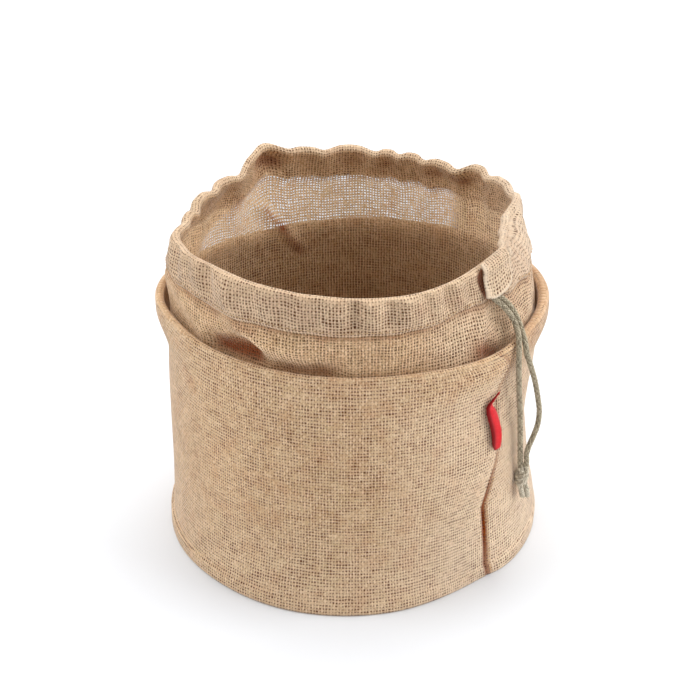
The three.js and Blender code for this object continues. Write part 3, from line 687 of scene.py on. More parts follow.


# %% [markdown]
# ## Jute, woven in a shader
# Jute hessian is a plain weave of thick hairy yarns, with square gaps: about 53 yarns round the
# sleeve and 45 up it to 100 mm, and 50 both ways in the sac. One gap is under a millimetre, so
# modelled yarns would need millions of faces. The weave is drawn by the material instead, in the
# unrolled millimetres of the UV map. Each yarn has a number, a distance from its middle, and a round
# section that rises where it passes over and sinks where it passes under. The higher of the two yarns
# shows, and its lower parts are painted darker: painted shade. Where neither is, there is a gap: a
# real hole in single cloth, though fine hairs fill part of it, and in doubled cloth a dark brown,
# which is painted shade of the layer below.
#
# Uneven yarns make the cloth look like jute, so width, place and tone of each change along it.
# Dyed patches of rust and straw lie over many yarns. Single cloth also lets some light through.
# Numbers stored on the mesh paint shade into its creases and hollows, and paint light where the cloth
# should look lit.

# %% Weave material
WANDER = 0.6  # millimetres that the yarns drift to either side
OFF_MIDDLE = 0.55  # share of the pitch over which a yarn's middle wanders
THROUGH = 0.25  # share of the light that passes through single cloth
# The warp is painted lighter than the weft: painted light and shade that stand in for the weave's
# relief.
CHEQUER = 0.3  # how much lighter the warp is than the weft
FUZZ = 0.43  # share of a gap that fine hairs fill
RELIEF = 0.00022  # metres of bump for each millimetre of pitch
YARN_APART, YARN_PLANE = 5.137, 3.7  # where each yarn reads the noise, so that no two are alike
YARN_SLOW = 0.33  # how slowly a yarn changes along its length
RISE, ROUND = 0.42, 0.6  # how much of its height a yarn owes to the crossings, and to its section
# The crevice colour is painted shade for hollows and creases, and the last, lightest colour is
# painted light for the pale mark.
RUST, STRAW, CREVICE_SHADE, PAINTED_LIGHT = "c08a60", "c9b183", "9c5420", "f6ead8"
MARKS = ("hollow", "closed", "pale")


def woven_jute(name, pitch, widths, light, dark, deep, single):
    """Plain-woven jute: dull, hairy, uneven. Pitch is in millimetres each way, and widths are the
    shares of it that warp and weft fill. Gaps and the low parts of the yarns take the deep colour,
    which is painted shade. Marks on the cloth change it: "hollow" darkens it with painted shade,
    "closed" shuts its gaps, "pale" lightens it with painted light, and "backed" has another layer
    behind it, so that its gaps show the painted shade."""
    material, add = new_material(name)
    mark = {title: add("Attribute", attribute_name=title, out=2) for title in MARKS}
    place = add("TexCoord", out=3)
    drift = add("TexNoise", place, named={"Scale": 45.0, "Detail": 1.0}, out=1)
    drift = add("VectorMath", "SUBTRACT", drift, (0.5, 0.5, 0.5))
    drift = add("VectorMath", "MULTIPLY_ADD", drift, (WANDER,) * 3, add("UVMap", uv_map="cloth"))
    counted = add("VectorMath", "MULTIPLY", drift, (1 / pitch[0], 1 / pitch[1], 1))
    split = add("SeparateXYZ", counted).node.outputs
    patches = add("TexNoise", place, named={"Scale": 80.0, "Detail": 2.0}, out=1)
    patch = add("SeparateColor", patches).node.outputs
    clumps = add("TexNoise", place, named={"Scale": 330.0, "Detail": 1.0})
    packed = add("Math", "ADD", clumps, add("Math", "MULTIPLY_ADD", patch[0], 0.5, 0.25))
    packed = add("Math", "ADD", mark["closed"], packed)
    tops, covers, tones = [], [], []
    for way, share in enumerate(widths):
        across, along, phase = split[way], split[1 - way], way - 0.5
        number = add("Math", "FLOOR", across)
        seat = add("CombineXYZ", add("Math", "MULTIPLY", number, YARN_APART),
                   add("Math", "MULTIPLY", along, YARN_SLOW), YARN_PLANE + phase)
        uneven = add("TexNoise", seat, out=1, named={"Scale": 1.0, "Detail": 1.0, "Roughness": 0.6})
        parts = add("SeparateColor", uneven).node.outputs
        middle = add("Math", "MULTIPLY_ADD", parts[0], OFF_MIDDLE, -OFF_MIDDLE / 2)
        offset = add("Math", "SUBTRACT", add("Math", "FRACT", across), 0.5)
        offset = add("Math", "ADD", offset, middle)
        thick = add("Math", "MULTIPLY_ADD", parts[1], 1.3, 0.35)
        thick = add("Math", "MULTIPLY", add("Math", "MULTIPLY", thick, share / 2), packed)
        ratio = add("Math", "DIVIDE", offset, thick)
        section = add("Math", "SUBTRACT", 1.0, add("Math", "MULTIPLY", ratio, ratio))
        covered = add("Math", "GREATER_THAN", section, 0.0)
        bulge = add("Math", "SQRT", add("Math", "MAXIMUM", section, 0.0))
        beat = add("Math", "ADD", along, add("Math", "ADD", number, phase))
        beat = add("Math", "COSINE", add("Math", "MULTIPLY", beat, math.pi))
        height = add("Math", "MULTIPLY_ADD", beat, RISE, add("Math", "MULTIPLY", bulge, ROUND))
        height = add("Math", "MULTIPLY", add("Math", "ADD", height, 1.0), covered)
        tops.append(add("Math", "SUBTRACT", height, 1.0))
        covers.append(covered)
        tones.append(parts[2])
    top = add("Math", "MAXIMUM", *tops)
    warp_shows = add("Math", "GREATER_THAN", *tops)
    tone = add("Mix", warp_shows, data_type="FLOAT", named={2: tones[1], 3: tones[0]})
    fibres = add("TexNoise", place, named={"Scale": 1300.0, "Detail": 2.0})
    tone = add("Math", "MULTIPLY_ADD", tone, 0.4, add("Math", "MULTIPLY", fibres, 0.6))
    spread = add("MapRange", tone, 0.36, 0.64, -0.2, 0.8, clamp=False)
    spread = add("Math", "MULTIPLY_ADD", warp_shows, CHEQUER, spread)
    colour = add("Mix", spread, **COLOURS, named={6: linear(dark), 7: linear(light)})
    for part, most, tint in ((patch[1], 0.32, RUST), (patch[2], 0.2, STRAW)):
        stained = add("MapRange", part, 0.48, 0.75, 0.0, most)
        colour = add("Mix", stained, **COLOURS, named={6: colour, 7: linear(tint)})
    # The pale mark mixes in painted light.
    colour = add("Mix", mark["pale"], **COLOURS, named={6: colour, 7: linear(PAINTED_LIGHT)})
    # Gaps and the low parts of the yarns take the deep colour: painted shade.
    lit = add("MapRange", top, -0.45, 0.5, interpolation_type="SMOOTHSTEP")
    colour = add("Mix", lit, **COLOURS, named={6: linear(deep), 7: colour})
    # The hollow mark multiplies in painted shade.
    colour = add("Mix", mark["hollow"], **COLOURS, blend_type="MULTIPLY",
                 named={6: colour, 7: linear(CREVICE_SHADE)})
    bump = add("Bump", named={
        "Height": add("Math", "MAXIMUM", top, -0.5), "Distance": RELIEF * pitch[0]})
    surface = add("BsdfPrincipled", colour, named={
        "Roughness": 0.95, "Normal": bump, "Specular IOR Level": 0.05, "Sheen Weight": 0.4,
        "Sheen Roughness": 0.3})
    if single:
        surface = add("MixShader", THROUGH, surface, add("BsdfTranslucent", colour, bump))
        # A backed gap, and the share of fine hairs in any gap, is solid and shows the deep colour:
        # painted shade.
        backed = add("Attribute", attribute_name="backed", out=2)
        solid = add("Math", "MAXIMUM", add("Math", "MAXIMUM", *covers), backed)
        solid = add("Math", "MAXIMUM", solid, FUZZ)
        surface = add("MixShader", solid, add("BsdfTransparent"), surface)
    add("OutputMaterial", surface)
    return material


LOOSE_WEAVE = (2.0, 2.05)
HEAVY_JUTE = woven_jute("heavy jute hessian", SLEEVE_WEAVE, (0.53, 0.7), "e8cba7", "c19d79",
                        "5a2c10", single=False)
LOOSE_JUTE = woven_jute("loose jute hessian", LOOSE_WEAVE, (0.56, 0.59), "f5d6b0", "cba67e",
                        "5f3214", single=True)

# %% Place the sleeve
sleeve_mesh = grid_mesh("sleeve", sleeve_points, sleeve_uv, True, True, **sleeve_marks())
sleeve = add_object("sleeve_of_doubled_jute", sleeve_mesh, HEAVY_JUTE)
stand_in(sleeve, "sleeve")

# %% [markdown]
# ## Sac: its tables and shape
# The inner sac is loose jute, and a single open sheet here, because light has to pass through its
# gaps. It follows the sleeve from inside, leans away above the rim, and is turned outwards at the top
# as a casing. The drawstring gathers it, so its top edge is a row of scallops between short troughs,
# and at the right it leans in over the mouth. The deep dents above the rim are where the cloth
# slumps. A cloth simulation could find such dents, but not these ones, and it would rub out the
# gathers, so each fold is placed one by one and the rest is worked out.

# %% Tables of the sac
SAC_RIM = table("bearing top casing wall", [
    (-180, 220, 110.5, 115), (-168, 220.5, 108.5, 115), (-160, 221, 112.5, 116),
    (-151, 224, 120.5, 118), (-143, 221, 113, 116), (-132, 217.5, 105, 113.5),
    (-120, 218.5, 103.5, 113.5), (-108, 219, 103, 113.5), (-95, 219, 103.5, 118),
    (-84, 219.5, 107.5, 120), (-75, 220, 113, 119), (-60, 222, 115, 116.5),
    (-45, 224, 115, 115.5), (-26, 224, 117.5, 116.5), (-10, 221.8, 116, 116),
    (0, 220.3, 115, 115.5), (10, 218, 111.5, 115), (20, 216.8, 109, 114), (33, 216.8, 105.5, 112.5),
    (44, 216.6, 102, 111), (55, 217, 100.5, 111), (63, 217.5, 101.5, 112.5),
    (67, 217.6, 101.2, 113.5), (72, 217.4, 99, 114.4), (80, 217, 97, 114.8),
    (90, 217.8, 97.5, 114.8), (97, 219.3, 102.5, 115.2), (103, 220.8, 109, 115.4),
    (109, 221, 112.3, 115.5), (121, 221, 111.5, 116),
    (132, 221, 112, 115.5), (139, 219.5, 104.5, 114.5), (150, 219.5, 105.5, 114),
    (162, 220, 105, 113.5), (172, 220, 106.5, 114),
])
CASING_DEPTH = table("bearing depth", [
    (-180, 24), (-95, 24), (-75, 25), (-60, 26.5), (-45, 29), (-26, 28), (-10, 26), (0, 25.3),
    (10, 23.5), (20, 22.3), (33, 20.3), (44, 20.5), (58, 23.5), (80, 24), (130, 24),
])
GATHERS = table("bearing pinch drop", [
    (-170, 2.2, 1.8), (-157, 2.2, 2.2), (-134, 3, 2.5), (-116, 2.8, 2.6), (-97, 2.5, 2.5),
    (-86, 1.8, 1.6), (-66, 1.3, 0.8), (-49, 1.6, 1), (-33, 1, 0.8), (-15, 1.5, 1.2),
    (1, 1.4, 0.7), (14, 1.6, 0.8), (31, 1.5, 1), (47, 1.2, 0.8), (62, 1.5, 1), (72, 1.5, 1.4),
    (82, 1.6, 1.6), (94, 2.2, 2.2), (110, 2.4, 2.2), (125, 2.6, 2.4), (137, 2.8, 2.6),
    (152, 2.6, 2.2), (162, 2.2, 1.6), (171, 2, 1.8),
])
SAC_FOLDS = table(FOLD_COLUMNS, [
    (-46, 166, -33, 169, 12, 9), (-21, 164, -9, 163, 11, 6.5), (-28, 182, -18, 180, 10, -2.5),
    (45, 167, 50, 160, 7, 4.5), (45, 190, 41, 164, 5, -2.5), (73, 184, 70, 178, 12, -2.5),
    (30, 176, 18, 168, 10, 1.5), (-65, 192, -55, 176, 9, -1.5), (-75, 176, -60, 168, 9, 2),
    (-147, 190, -152, 176, 9, -1), (-147, 178, -162, 140, 4.5, 4), (-141, 200, -135, 178, 9, 3),
])
SAC_CREASES = table(FOLD_COLUMNS, [
    (-40, 177, -33, 175, 6, 2.5), (-10, 170, -4, 169, 5, 1.2), (-52, 196, -44, 186, 5, 1),
    (-37, 190, -30, 183, 5, -1), (-12, 186, 6, 184, 6, 1), (0, 193, 14, 191, 4, -0.7),
    (20, 188, 33, 183, 5, 0.8), (26, 178, 40, 178, 5, -0.8), (50, 186, 52, 176, 5, 1.6),
    (60, 190, 64, 172, 6, -1), (84, 192, 80, 172, 7, 1.2), (104, 190, 101, 170, 6, -1),
    (125, 192, 129, 170, 7, 1), (150, 194, 158, 168, 5, 1), (172, 196, 172, 166, 6, -0.8),
    (-120, 192, -112, 168, 7, 1.2), (-98, 194, -92, 172, 6, -1.2), (-85, 190, -88, 170, 6, 1.2),
])
CASING_CREASES = table(FOLD_COLUMNS, [
    (0.4, 216, 0.6, 202, 4.5, 1.8), (5.5, 214, 6, 204, 4.5, -0.7), (10.8, 213, 10.8, 203, 4.5, 1.8),
    (17, 213, 17, 203, 5, -0.8), (23, 214, 24, 203, 4.5, 1.2), (32, 215, 31, 203, 4.5, 1.3),
    (40, 213, 41, 201, 5, 1), (-9, 215, -10, 204, 5, 0.8), (-19.3, 216, -20, 206, 5, 1.4),
    (-29, 216, -29, 204, 5, 1), (-38.3, 214, -38, 205, 5, -1.2), (-47.5, 219, -47, 207, 6, 1.8),
    (-57, 219, -57, 204, 6, 1.2), (-67, 218, -66, 204, 6, 1.4), (-80, 217, -79, 203, 6, 1.4),
    (-92, 217, -92, 202, 6, 1.4), (-108, 216, -108, 202, 7, 1.4), (-126, 215, -126, 201, 7, 1.6),
    (-144, 217, -144, 203, 7, 1.6), (-163, 218, -163, 203, 7, 1.4), (176, 217, 176, 203, 7, 1.4),
    (157, 216, 157, 202, 7, 1.4), (144, 216, 144, 202, 7, 1.6), (131, 217, 131, 203, 6, 1.4),
    (117, 217, 117, 203, 6, 1.4), (102, 217, 102, 203, 6, 1.4), (88, 217, 88, 203, 6, 1.2),
    (77, 217, 77, 203, 5, 1.2), (67, 216, 67, 203, 5, 1.2),
])
HOLLOWS = table(FOLD_COLUMNS, [
    (-152, 210, -148, 213, 8, 5), (-166, 209, -161, 208, 6, 1.5), (-176, 212, 178, 211, 8, 2.5),
    (163, 210, 167, 211, 8, 3), (147, 208, 151, 209, 8, 3.5), (136, 207, 139, 209, 7, 4),
    (126, 209, 128, 210, 6, 2.5), (112, 210, 115, 209, 6, 2), (99, 210, 101, 209, 6, 2),
    (-132, 206, -129, 208, 7, 3), (-117, 207, -114, 208, 6, 3), (-103, 207, -100, 208, 6, 2.5),
    (-90, 208, -88, 208, 5, 2), (-77, 208, -75, 208, 5, 1.5),
])
# Dark creases don't shape the cloth; they only darken it: painted shade along folds.
DARK_CREASES = table(FOLD_COLUMNS, [
    (-148, 177, -154, 162, 2.6, 0.5), (-154, 162, -161, 140, 3.6, 0.5), (42, 169, 49, 160, 6.5, 0.8),
    (-20, 167, -8, 166, 6, 0.3), (-53, 196, -46, 192, 3.5, 0.4), (-38, 191, -30, 190, 3, 0.3),
    (-140, 200, -132, 180, 4, 0.3), (60, 190, 66, 176, 3, 0.25), (84, 194, 80, 176, 4, 0.3),
])

# %% Shape of the sac
SINGLE = 1.8  # thickness that the CAD gives the sac
DRAPE_GAP = 2.2
CASING_HALF = 3.6
CASING_PUFF = 1.2
SHOULDER = 7.0  # how far the outer layer bulges where the casing leans inwards, at the right
SHOULDER_AT = 86
SHOULDER_WIDTH = 12
HEM_STEP = 2.4
CREASE_DEPTH, CREASE_IN_WALL = 2.0, 1.4  # how strongly the creases press in
WALL_KNEE = 122  # height from which the rows of the wall crowd together
CLEAR_OF_SLEEVE = 190  # height at which the wall no longer follows the sleeve
NECK = (186, 212)  # heights between which the wall runs in to the casing
FOLDS_FROM = 135
PINCH = (176, 204)  # heights between which the gathers begin

sac_top = ring_curve(SAC_RIM, "top")
sac_casing = ring_curve(SAC_RIM, "casing")
sac_wall = ring_curve(SAC_RIM, "wall")
casing_depth = ring_curve(CASING_DEPTH, "depth")


def hem_height(bearing, top):
    """Height of the casing's hem, which wavers as a hand-held seam does."""
    waver = 0.45 * np.sin(np.radians(bearing * 11)) + 0.35 * np.sin(np.radians(bearing * 23 + 40))
    return top - casing_depth(bearing) + waver


def gather(bearing):
    """How far a gather pulls the casing in and down: most in its trough, none between two."""
    x = GATHERS["bearing"]
    x_round = np.concatenate([x, x[:1] + 360])
    b = (bearing - x[0]) % 360 + x[0]
    i = np.clip(np.searchsorted(x_round, b, side="right") - 1, 0, len(x) - 1)
    t = (b - x_round[i]) / (x_round[i + 1] - x_round[i])
    trough = np.cos(np.pi * t) ** 4
    pulls = []
    for column in ("pinch", "drop"):
        y = np.append(GATHERS[column], GATHERS[column][0])
        pulls.append(lerp(y[i], y[i + 1], t) * trough)
    return pulls


def sac_radius(bearing, height):
    """Radius of the sac's single wall. Inside the sleeve it follows the sleeve."""
    in_sleeve = np.minimum(sleeve_radius(bearing, np.minimum(height, ROLL[1])),
                           sleeve_radius(bearing, np.minimum(height, ROLL[2])))
    low = in_sleeve - foot_step(bearing, height) - DOUBLED - DRAPE_GAP - SINGLE / 2
    wall = sac_wall(bearing)
    radius = lerp(low, wall, smooth(height, ROLL[2], CLEAR_OF_SLEEVE))
    radius = radius + (sac_casing(bearing) - CASING_HALF - wall) * smooth(height, *NECK)
    creases = CREASE_IN_WALL * fold_depth(SAC_CREASES, bearing, height)
    folds = fold_depth(SAC_FOLDS, bearing, height) + creases
    radius = radius - folds * smooth(height, FOLDS_FROM, ROLL[1])
    return radius - gather(bearing)[0] * smooth(height, *PINCH)


def casing_at(bearing):
    """Half the casing's width, its hem's height, and the radius and height of its middle."""
    pinch, drop = gather(bearing)
    top = sac_top(bearing) - drop
    half = CASING_HALF - pinch / 5
    return half, hem_height(bearing, top), sac_casing(bearing) - pinch, top - half - SINGLE / 2


def casing_outer(bearing, position):
    """Radius and height of the casing's outer layer: -1 at its hem, 0 at the side, 1 on top."""
    half, hem, centre, middle = casing_at(bearing)
    angle = np.pi / 2 * np.maximum(position, 0)
    t = np.maximum(-position, 0)
    hem_radius = sac_radius(bearing, hem) + HEM_STEP
    radius = lerp(centre + half * np.cos(angle), hem_radius, smooth(t, 0, 1))
    height = lerp(middle + half * np.sin(angle), hem, t)
    creases = fold_depth(CASING_CREASES, bearing, height) * (1 - smooth(t, 0.7, 1))
    creases = creases * (1 - smooth(position, 0.1, 0.9))
    shoulder = SHOULDER * hump(wrap(bearing - SHOULDER_AT), SHOULDER_WIDTH)
    radius = radius + CASING_PUFF * np.sin(np.pi * t) + shoulder * np.sin(np.pi * t**0.5)
    return radius - CREASE_DEPTH * creases, height


# %% Build the sac's grid
SAC_YARNS = 361
WALL_ROWS = 64
INNER_ROWS = 18
OUTER_ROWS = 23
SLIT = {"bearing": 48.7, "left": 0.5, "right": 4.8, "low": -1.02, "high": -0.06, "reach": 6.0}
SHADE = (-0.98, 0.5)  # places on the casing's outer layer between which the slit lies in shade
BEHIND_SLIT = 51
FLAP_EDGE = 62.6  # bearing of the flap's round edge, where it reaches farthest


def sac_columns():
    """Bearings from the slit round to the slit, closer together beside it."""
    near = np.linspace(0, 9, 16)
    return SLIT["bearing"] + np.concatenate([near, np.linspace(9, 351, 370)[1:-1], near + 351])


def outer_positions():
    """Places of the rows from the top of the casing down its outer layer to the hem."""
    return np.concatenate([np.linspace(1, 0, 8)[1:], np.linspace(0, -1, 17)[1:]])


def open_slit(column, position):
    """Degrees by which the casing's outer layer is spread apart beside the slit."""
    first = column < SLIT["bearing"] + 180
    along = (position - SLIT["low"]) / (SLIT["high"] - SLIT["low"])
    gape = np.sqrt(np.clip(np.sin(np.pi * np.clip(along, 0, 1)), 0, 1))
    spread = np.where(first, SLIT["right"], -SLIT["left"])
    return spread * gape * hump(wrap(column - SLIT["bearing"]), SLIT["reach"])


def sac_grid():
    """Points of the sac: up its wall, inside the casing, over the top and down to the hem."""
    column = sac_columns()[:, None]
    half, hem, centre, middle = casing_at(column)
    low = np.linspace(3.0, WALL_KNEE, 15)[None, :] + 0 * column
    upper = lerp(WALL_KNEE, hem, np.linspace(0, 1, WALL_ROWS - 14)[None, 1:])
    wall = np.hstack([low, upper])
    parts = [(column + 0 * wall, sac_radius(column, wall), wall)]
    t = np.linspace(0, 1, INNER_ROWS + 1)[None, 1:]
    root = sac_radius(column, hem)
    inside = lerp(hem, middle, t)
    hollow = fold_depth(HOLLOWS, column, inside) * band(t, 0, 0.3, 0.8, 1)
    parts.append((column + 0 * t, lerp(root, centre - half, smooth(t, 0, 1)) + hollow, inside))
    angle = np.radians(np.linspace(180, 90, 8))[None, 1:]
    parts.append((column + 0 * angle, centre + half * np.cos(angle), middle + half * np.sin(angle)))
    position = outer_positions()[None, :]
    radius, height = casing_outer(column, position)
    tuck = smooth(-position, 0.9, 1.0) * 0.9
    parts.append((column + open_slit(column, position), radius - tuck, height))
    return np.concatenate([around(*part) for part in parts], 1)


sac_points = sac_grid()
sac_v = path_lengths(sac_points)
sac_u = (sac_columns() - SLIT["bearing"]) * SAC_YARNS * LOOSE_WEAVE[0] / 360
print("sac grid:", sac_points.shape[:2], f"path {sac_v[-1]:.0f} mm")

# %% [markdown]
# ## Sac: where it is hollow, closed, pale or backed
# The weave can't know where the cloth dips, where a second layer lies behind it, or where it should
# look lit. Those places are worked out here from the same tables, as one number for each point and
# kind. Hollow is painted shade: dents and dark creases, the troughs inside the casing, the inner
# layer behind the slit, the shade beside the slit and the flap, and a painted shadow under the hem.
# Pale is painted light.

# %% Marks of the sac
def slit_shade():
    """How deep the casing's outer layer lies in the shade beside the slit: a crescent at its left."""
    right = wrap(sac_columns() - SLIT["bearing"])[:, None]
    along = np.zeros(sac_points.shape[1])
    along[-OUTER_ROWS:] = np.clip((outer_positions() - SHADE[0]) / (SHADE[1] - SHADE[0]), 0, 1)
    reach = 3.0 * np.sin(np.pi * along) ** 0.7
    return smooth(right, -reach - 0.7, -reach + 0.5) * (right < 0.5) * (reach > 0.5)


def flap_shade():
    """How deep the casing's outer layer lies in the shade to the right of the flap's round edge."""
    position = outer_positions()[None, :]
    edge = FLAP_EDGE + 3 * position - 12 * np.maximum(np.abs(position - 0.12) - 0.34, 0)
    right = sac_columns()[:, None] - edge
    contact = 0.38 * band(right, -1.0, 0.2, 0.5, 3.5) * band(position, -0.85, -0.6, 0.7, 0.95)
    far_flap_shade = 0.14 * smooth(right, -1.0, 0.5) * (1 - smooth(sac_columns(), 74, 86)[:, None])
    shade = np.zeros(sac_points.shape[:2])
    shade[:, -OUTER_ROWS:] = np.maximum(contact, far_flap_shade)
    return shade


def sac_marks():
    """How hollow (painted shade), closed and pale (painted light) the sac is at each point, and where
    a layer lies behind it.
    """
    column, height = sac_columns()[:, None], sac_points[..., 2] / MM
    right = wrap(column)
    side = np.abs(right)
    row = np.arange(sac_points.shape[1])
    in_wall, outside = row < WALL_ROWS, row >= WALL_ROWS + INNER_ROWS
    inner_share = np.clip((row - WALL_ROWS) / INNER_ROWS, 0, 1)
    outer_layer = smooth(row, WALL_ROWS + INNER_ROWS - 3, WALL_ROWS + INNER_ROWS + 2)
    dents = smooth(fold_depth(SAC_FOLDS, column, height) - 2.5, 0, 8)
    troughs = fold_depth(HOLLOWS, column, height) * (1 - smooth(inner_share, 0.55, 0.85))
    behind_slit = np.exp(-((wrap(column - BEHIND_SLIT) / 5) ** 4)) * ~outside
    below_hem = hem_height(column, sac_top(column)) - height
    # Painted shade: dents, dark creases, troughs inside the casing, the inner layer behind the slit,
    # beside the slit and flap, and a shadow under the hem.
    hollow = np.maximum.reduce([
        dents * band(height, 158, 166, 180, 186),
        0.62 * smooth(troughs * ~in_wall, 0.6, 5.0),
        0.3 * behind_slit * ~in_wall,
        0.8 * slit_shade(),
        flap_shade(),
        0.35 * (1 - smooth(below_hem, 0.5, 6)) * (row < WALL_ROWS - 1),
        fold_depth(DARK_CREASES, column, height) * in_wall,
    ])
    from_back = np.where(right < 0, 118 + 27 * smooth(height, 168, 200), 144)
    at_side = band(side, 58, 70, from_back - 6, from_back + 6)
    backed = np.where(in_wall, np.maximum(at_side, 1 - smooth(height, 150, 158)), 1)
    right_flank = band(right, 52, 70, 110, 140)
    closed = np.where(in_wall, 0.12 * at_side * smooth(-right, 60, 90), 0.12 * (inner_share < 1))
    on_top = outside * (row < row[-1] - 15)
    closed = closed + 0.2 * on_top + 0.12 * right_flank * outer_layer
    # Painted light: the casing's outer layer, its right flank and the wall at the front right are
    # paler.
    front_right = band(right, 15, 35, 110, 140)
    pale = (0.22 + 0.2 * right_flank) * outer_layer + 0.2 * front_right * (1 - outer_layer)
    return {"hollow": hollow, "backed": backed, "closed": closed, "pale": pale}


# %% Place the sac
def weld(mesh, turn_out=False):
    """Joins vertices that lie on each other, and may turn every face outwards."""
    work = bmesh.new()
    work.from_mesh(mesh)
    bmesh.ops.remove_doubles(work, verts=work.verts, dist=1e-5)
    if turn_out:
        bmesh.ops.recalc_face_normals(work, faces=work.faces)
    work.to_mesh(mesh)
    work.free()


sac_mesh = grid_mesh("sac", sac_points, unroll(sac_u, sac_v), **sac_marks())
weld(sac_mesh)
sac = add_object("sac_of_loose_jute", sac_mesh, LOOSE_JUTE)
stand_in(sac, "sac")

# %% [markdown]
# ## Base
# The base is a round panel of doubled jute that the sleeve is sewn to. A flat disc would do from
# above, but a round grid with a closed pole lets it sag a little between its seam and its middle.
# Its outline keeps inside the sleeve's inner face.

# %% Build the base
BASE_GAP = 0.6  # how far its outline keeps inside the sleeve
BASE_TOP, BASE_SIDE, BASE_SAG = 2.4, (1.7, 0.7), 0.35
BASE_EDGE = 0.8 / 120  # share of the radius that the round edge takes up


def base_grid():
    """Rings of the base: its top from the middle outwards, its edge, and its underside back."""
    column = np.linspace(0, 360, 180, endpoint=False)[:, None] + LAP_BEARING
    at_floor = sleeve_radius(column, 0) - foot_step(column, 0)
    outline = at_floor - DOUBLED - BASE_GAP
    share = np.linspace(0.0, 1.0, 40)[None, :] * (1 - BASE_EDGE)
    ripple = 0.1 * np.sin(np.radians(column * 7)) * share
    height = BASE_TOP - BASE_SAG * np.sin(np.pi * share) ** 2 - ripple
    edge = np.array([[1.0, 1.0]])
    rings = np.hstack([share, edge, share[:, ::-1]])
    heights = np.hstack([height, *(side + 0 * column for side in BASE_SIDE), 0 * height])
    return around(column + 0 * rings, outline * rings, heights)


base_points = base_grid()
base_uv = np.concatenate([base_points, base_points[:1]])[..., :2] / MM
base_mesh = grid_mesh("base", base_points, base_uv, round_columns=True)
weld(base_mesh, turn_out=True)
base = add_object("base_of_jute", base_mesh, HEAVY_JUTE)
stand_in(base, "base")

# %% [markdown]
# ## End of the casing
# Beside the slit the casing's right end laps over as a rounded flap, turned under at its edge. It
# is a small curved sheet that follows the casing a few millimetres off, higher at the slit, so
# that the slit lies in its shadow.

# %% Build the casing's end
CASING_END = table("along low high lift lean", [
    (0, -0.7, 0.75, 2.2, 2.2), (0.25, -0.78, 0.85, 2.9, 2.4), (0.5, -0.68, 0.85, 3.2, 3),
    (0.75, -0.52, 0.75, 3.4, 4), (1, -0.22, 0.46, 3.2, 5),
])
END_FROM, END_TO = 47, 62.4
END_FLAT = (26.0, 28.0)
END_THICK = 0.8
END_ROLL, END_TUCK = 0.7, 1.3  # how high its turned edge rises, and how far it dips beyond


def casing_end_grid(columns=40, rows=36):
    """Points of the flap with its turned edge as a low roll, and how far each is in the roll."""
    along = np.linspace(0, 1, columns)[:, None]
    low, high, lift, lean = (
        open_curve(CASING_END, "along", c)(along) for c in ("low", "high", "lift", "lean")
    )
    share = np.linspace(0, 1, rows)[None, :]
    position = lerp(low, high, share)
    bearing = lerp(END_FROM, END_TO, along) + lean * position
    radius, height = casing_outer(bearing, position)
    sides = np.minimum(along, 1 - along)
    in_roll = 1 - smooth(np.minimum(sides / 0.16 + 0 * share, np.minimum(share, 1.0) / 0.1), 0, 1)
    roll = END_ROLL * np.sqrt(np.clip(in_roll * (2 - in_roll), 0, 1))
    tuck = END_TUCK * (1 - smooth(sides, 0, 0.05)) * (1 - share) ** 0.5
    angle = np.pi / 2 * np.clip(position, 0, 1)
    settle = 1 - 0.8 * smooth(position, 0.1, 0.9)
    off = 0.6 + (lift + 0.9) * settle + roll - tuck
    points = around(bearing, radius + off * np.cos(angle), height + off * np.sin(angle))
    return points, in_roll


def solidify(piece, thickness):
    """Gives a sheet its thickness, half to each side, and applies it."""
    modifier = piece.modifiers.new("thickness", "SOLIDIFY")
    modifier.thickness = thickness
    modifier.offset = 0
    bpy.context.view_layer.update()
    evaluated = piece.evaluated_get(bpy.context.evaluated_depsgraph_get())
    piece.data = bpy.data.meshes.new_from_object(evaluated)
    piece.modifiers.clear()


end_points, end_roll = casing_end_grid()
end_uv = unroll(*(np.linspace(0, size, count) for size, count in zip(END_FLAT, end_points.shape)))
# The flap is painted pale, most on its rolled edge: painted light, a highlight along that edge.
end_mesh = grid_mesh("casing_end", end_points, end_uv, closed=0.1 + 0.4 * end_roll, backed=1,
                     pale=0.3 + 0.3 * end_roll)
casing_end = add_object("end_of_casing", end_mesh, LOOSE_JUTE)
print("casing end:", end_points.shape[:2])
solidify(casing_end, END_THICK * MM)
stand_in(casing_end, "casing_end")

# %% [markdown]
# ## Threads of the hem and of the seam
# A few threads are coarse enough to be seen: the running stitch that holds the casing's hem, and
# the cut ends of the yarns that stick out to the right of the seam. Geometry Nodes set a short
# spindle at even steps along a line. A stitch lies along its line, and a cut end points one way.
# Both scatter a little, from a fixed seed.

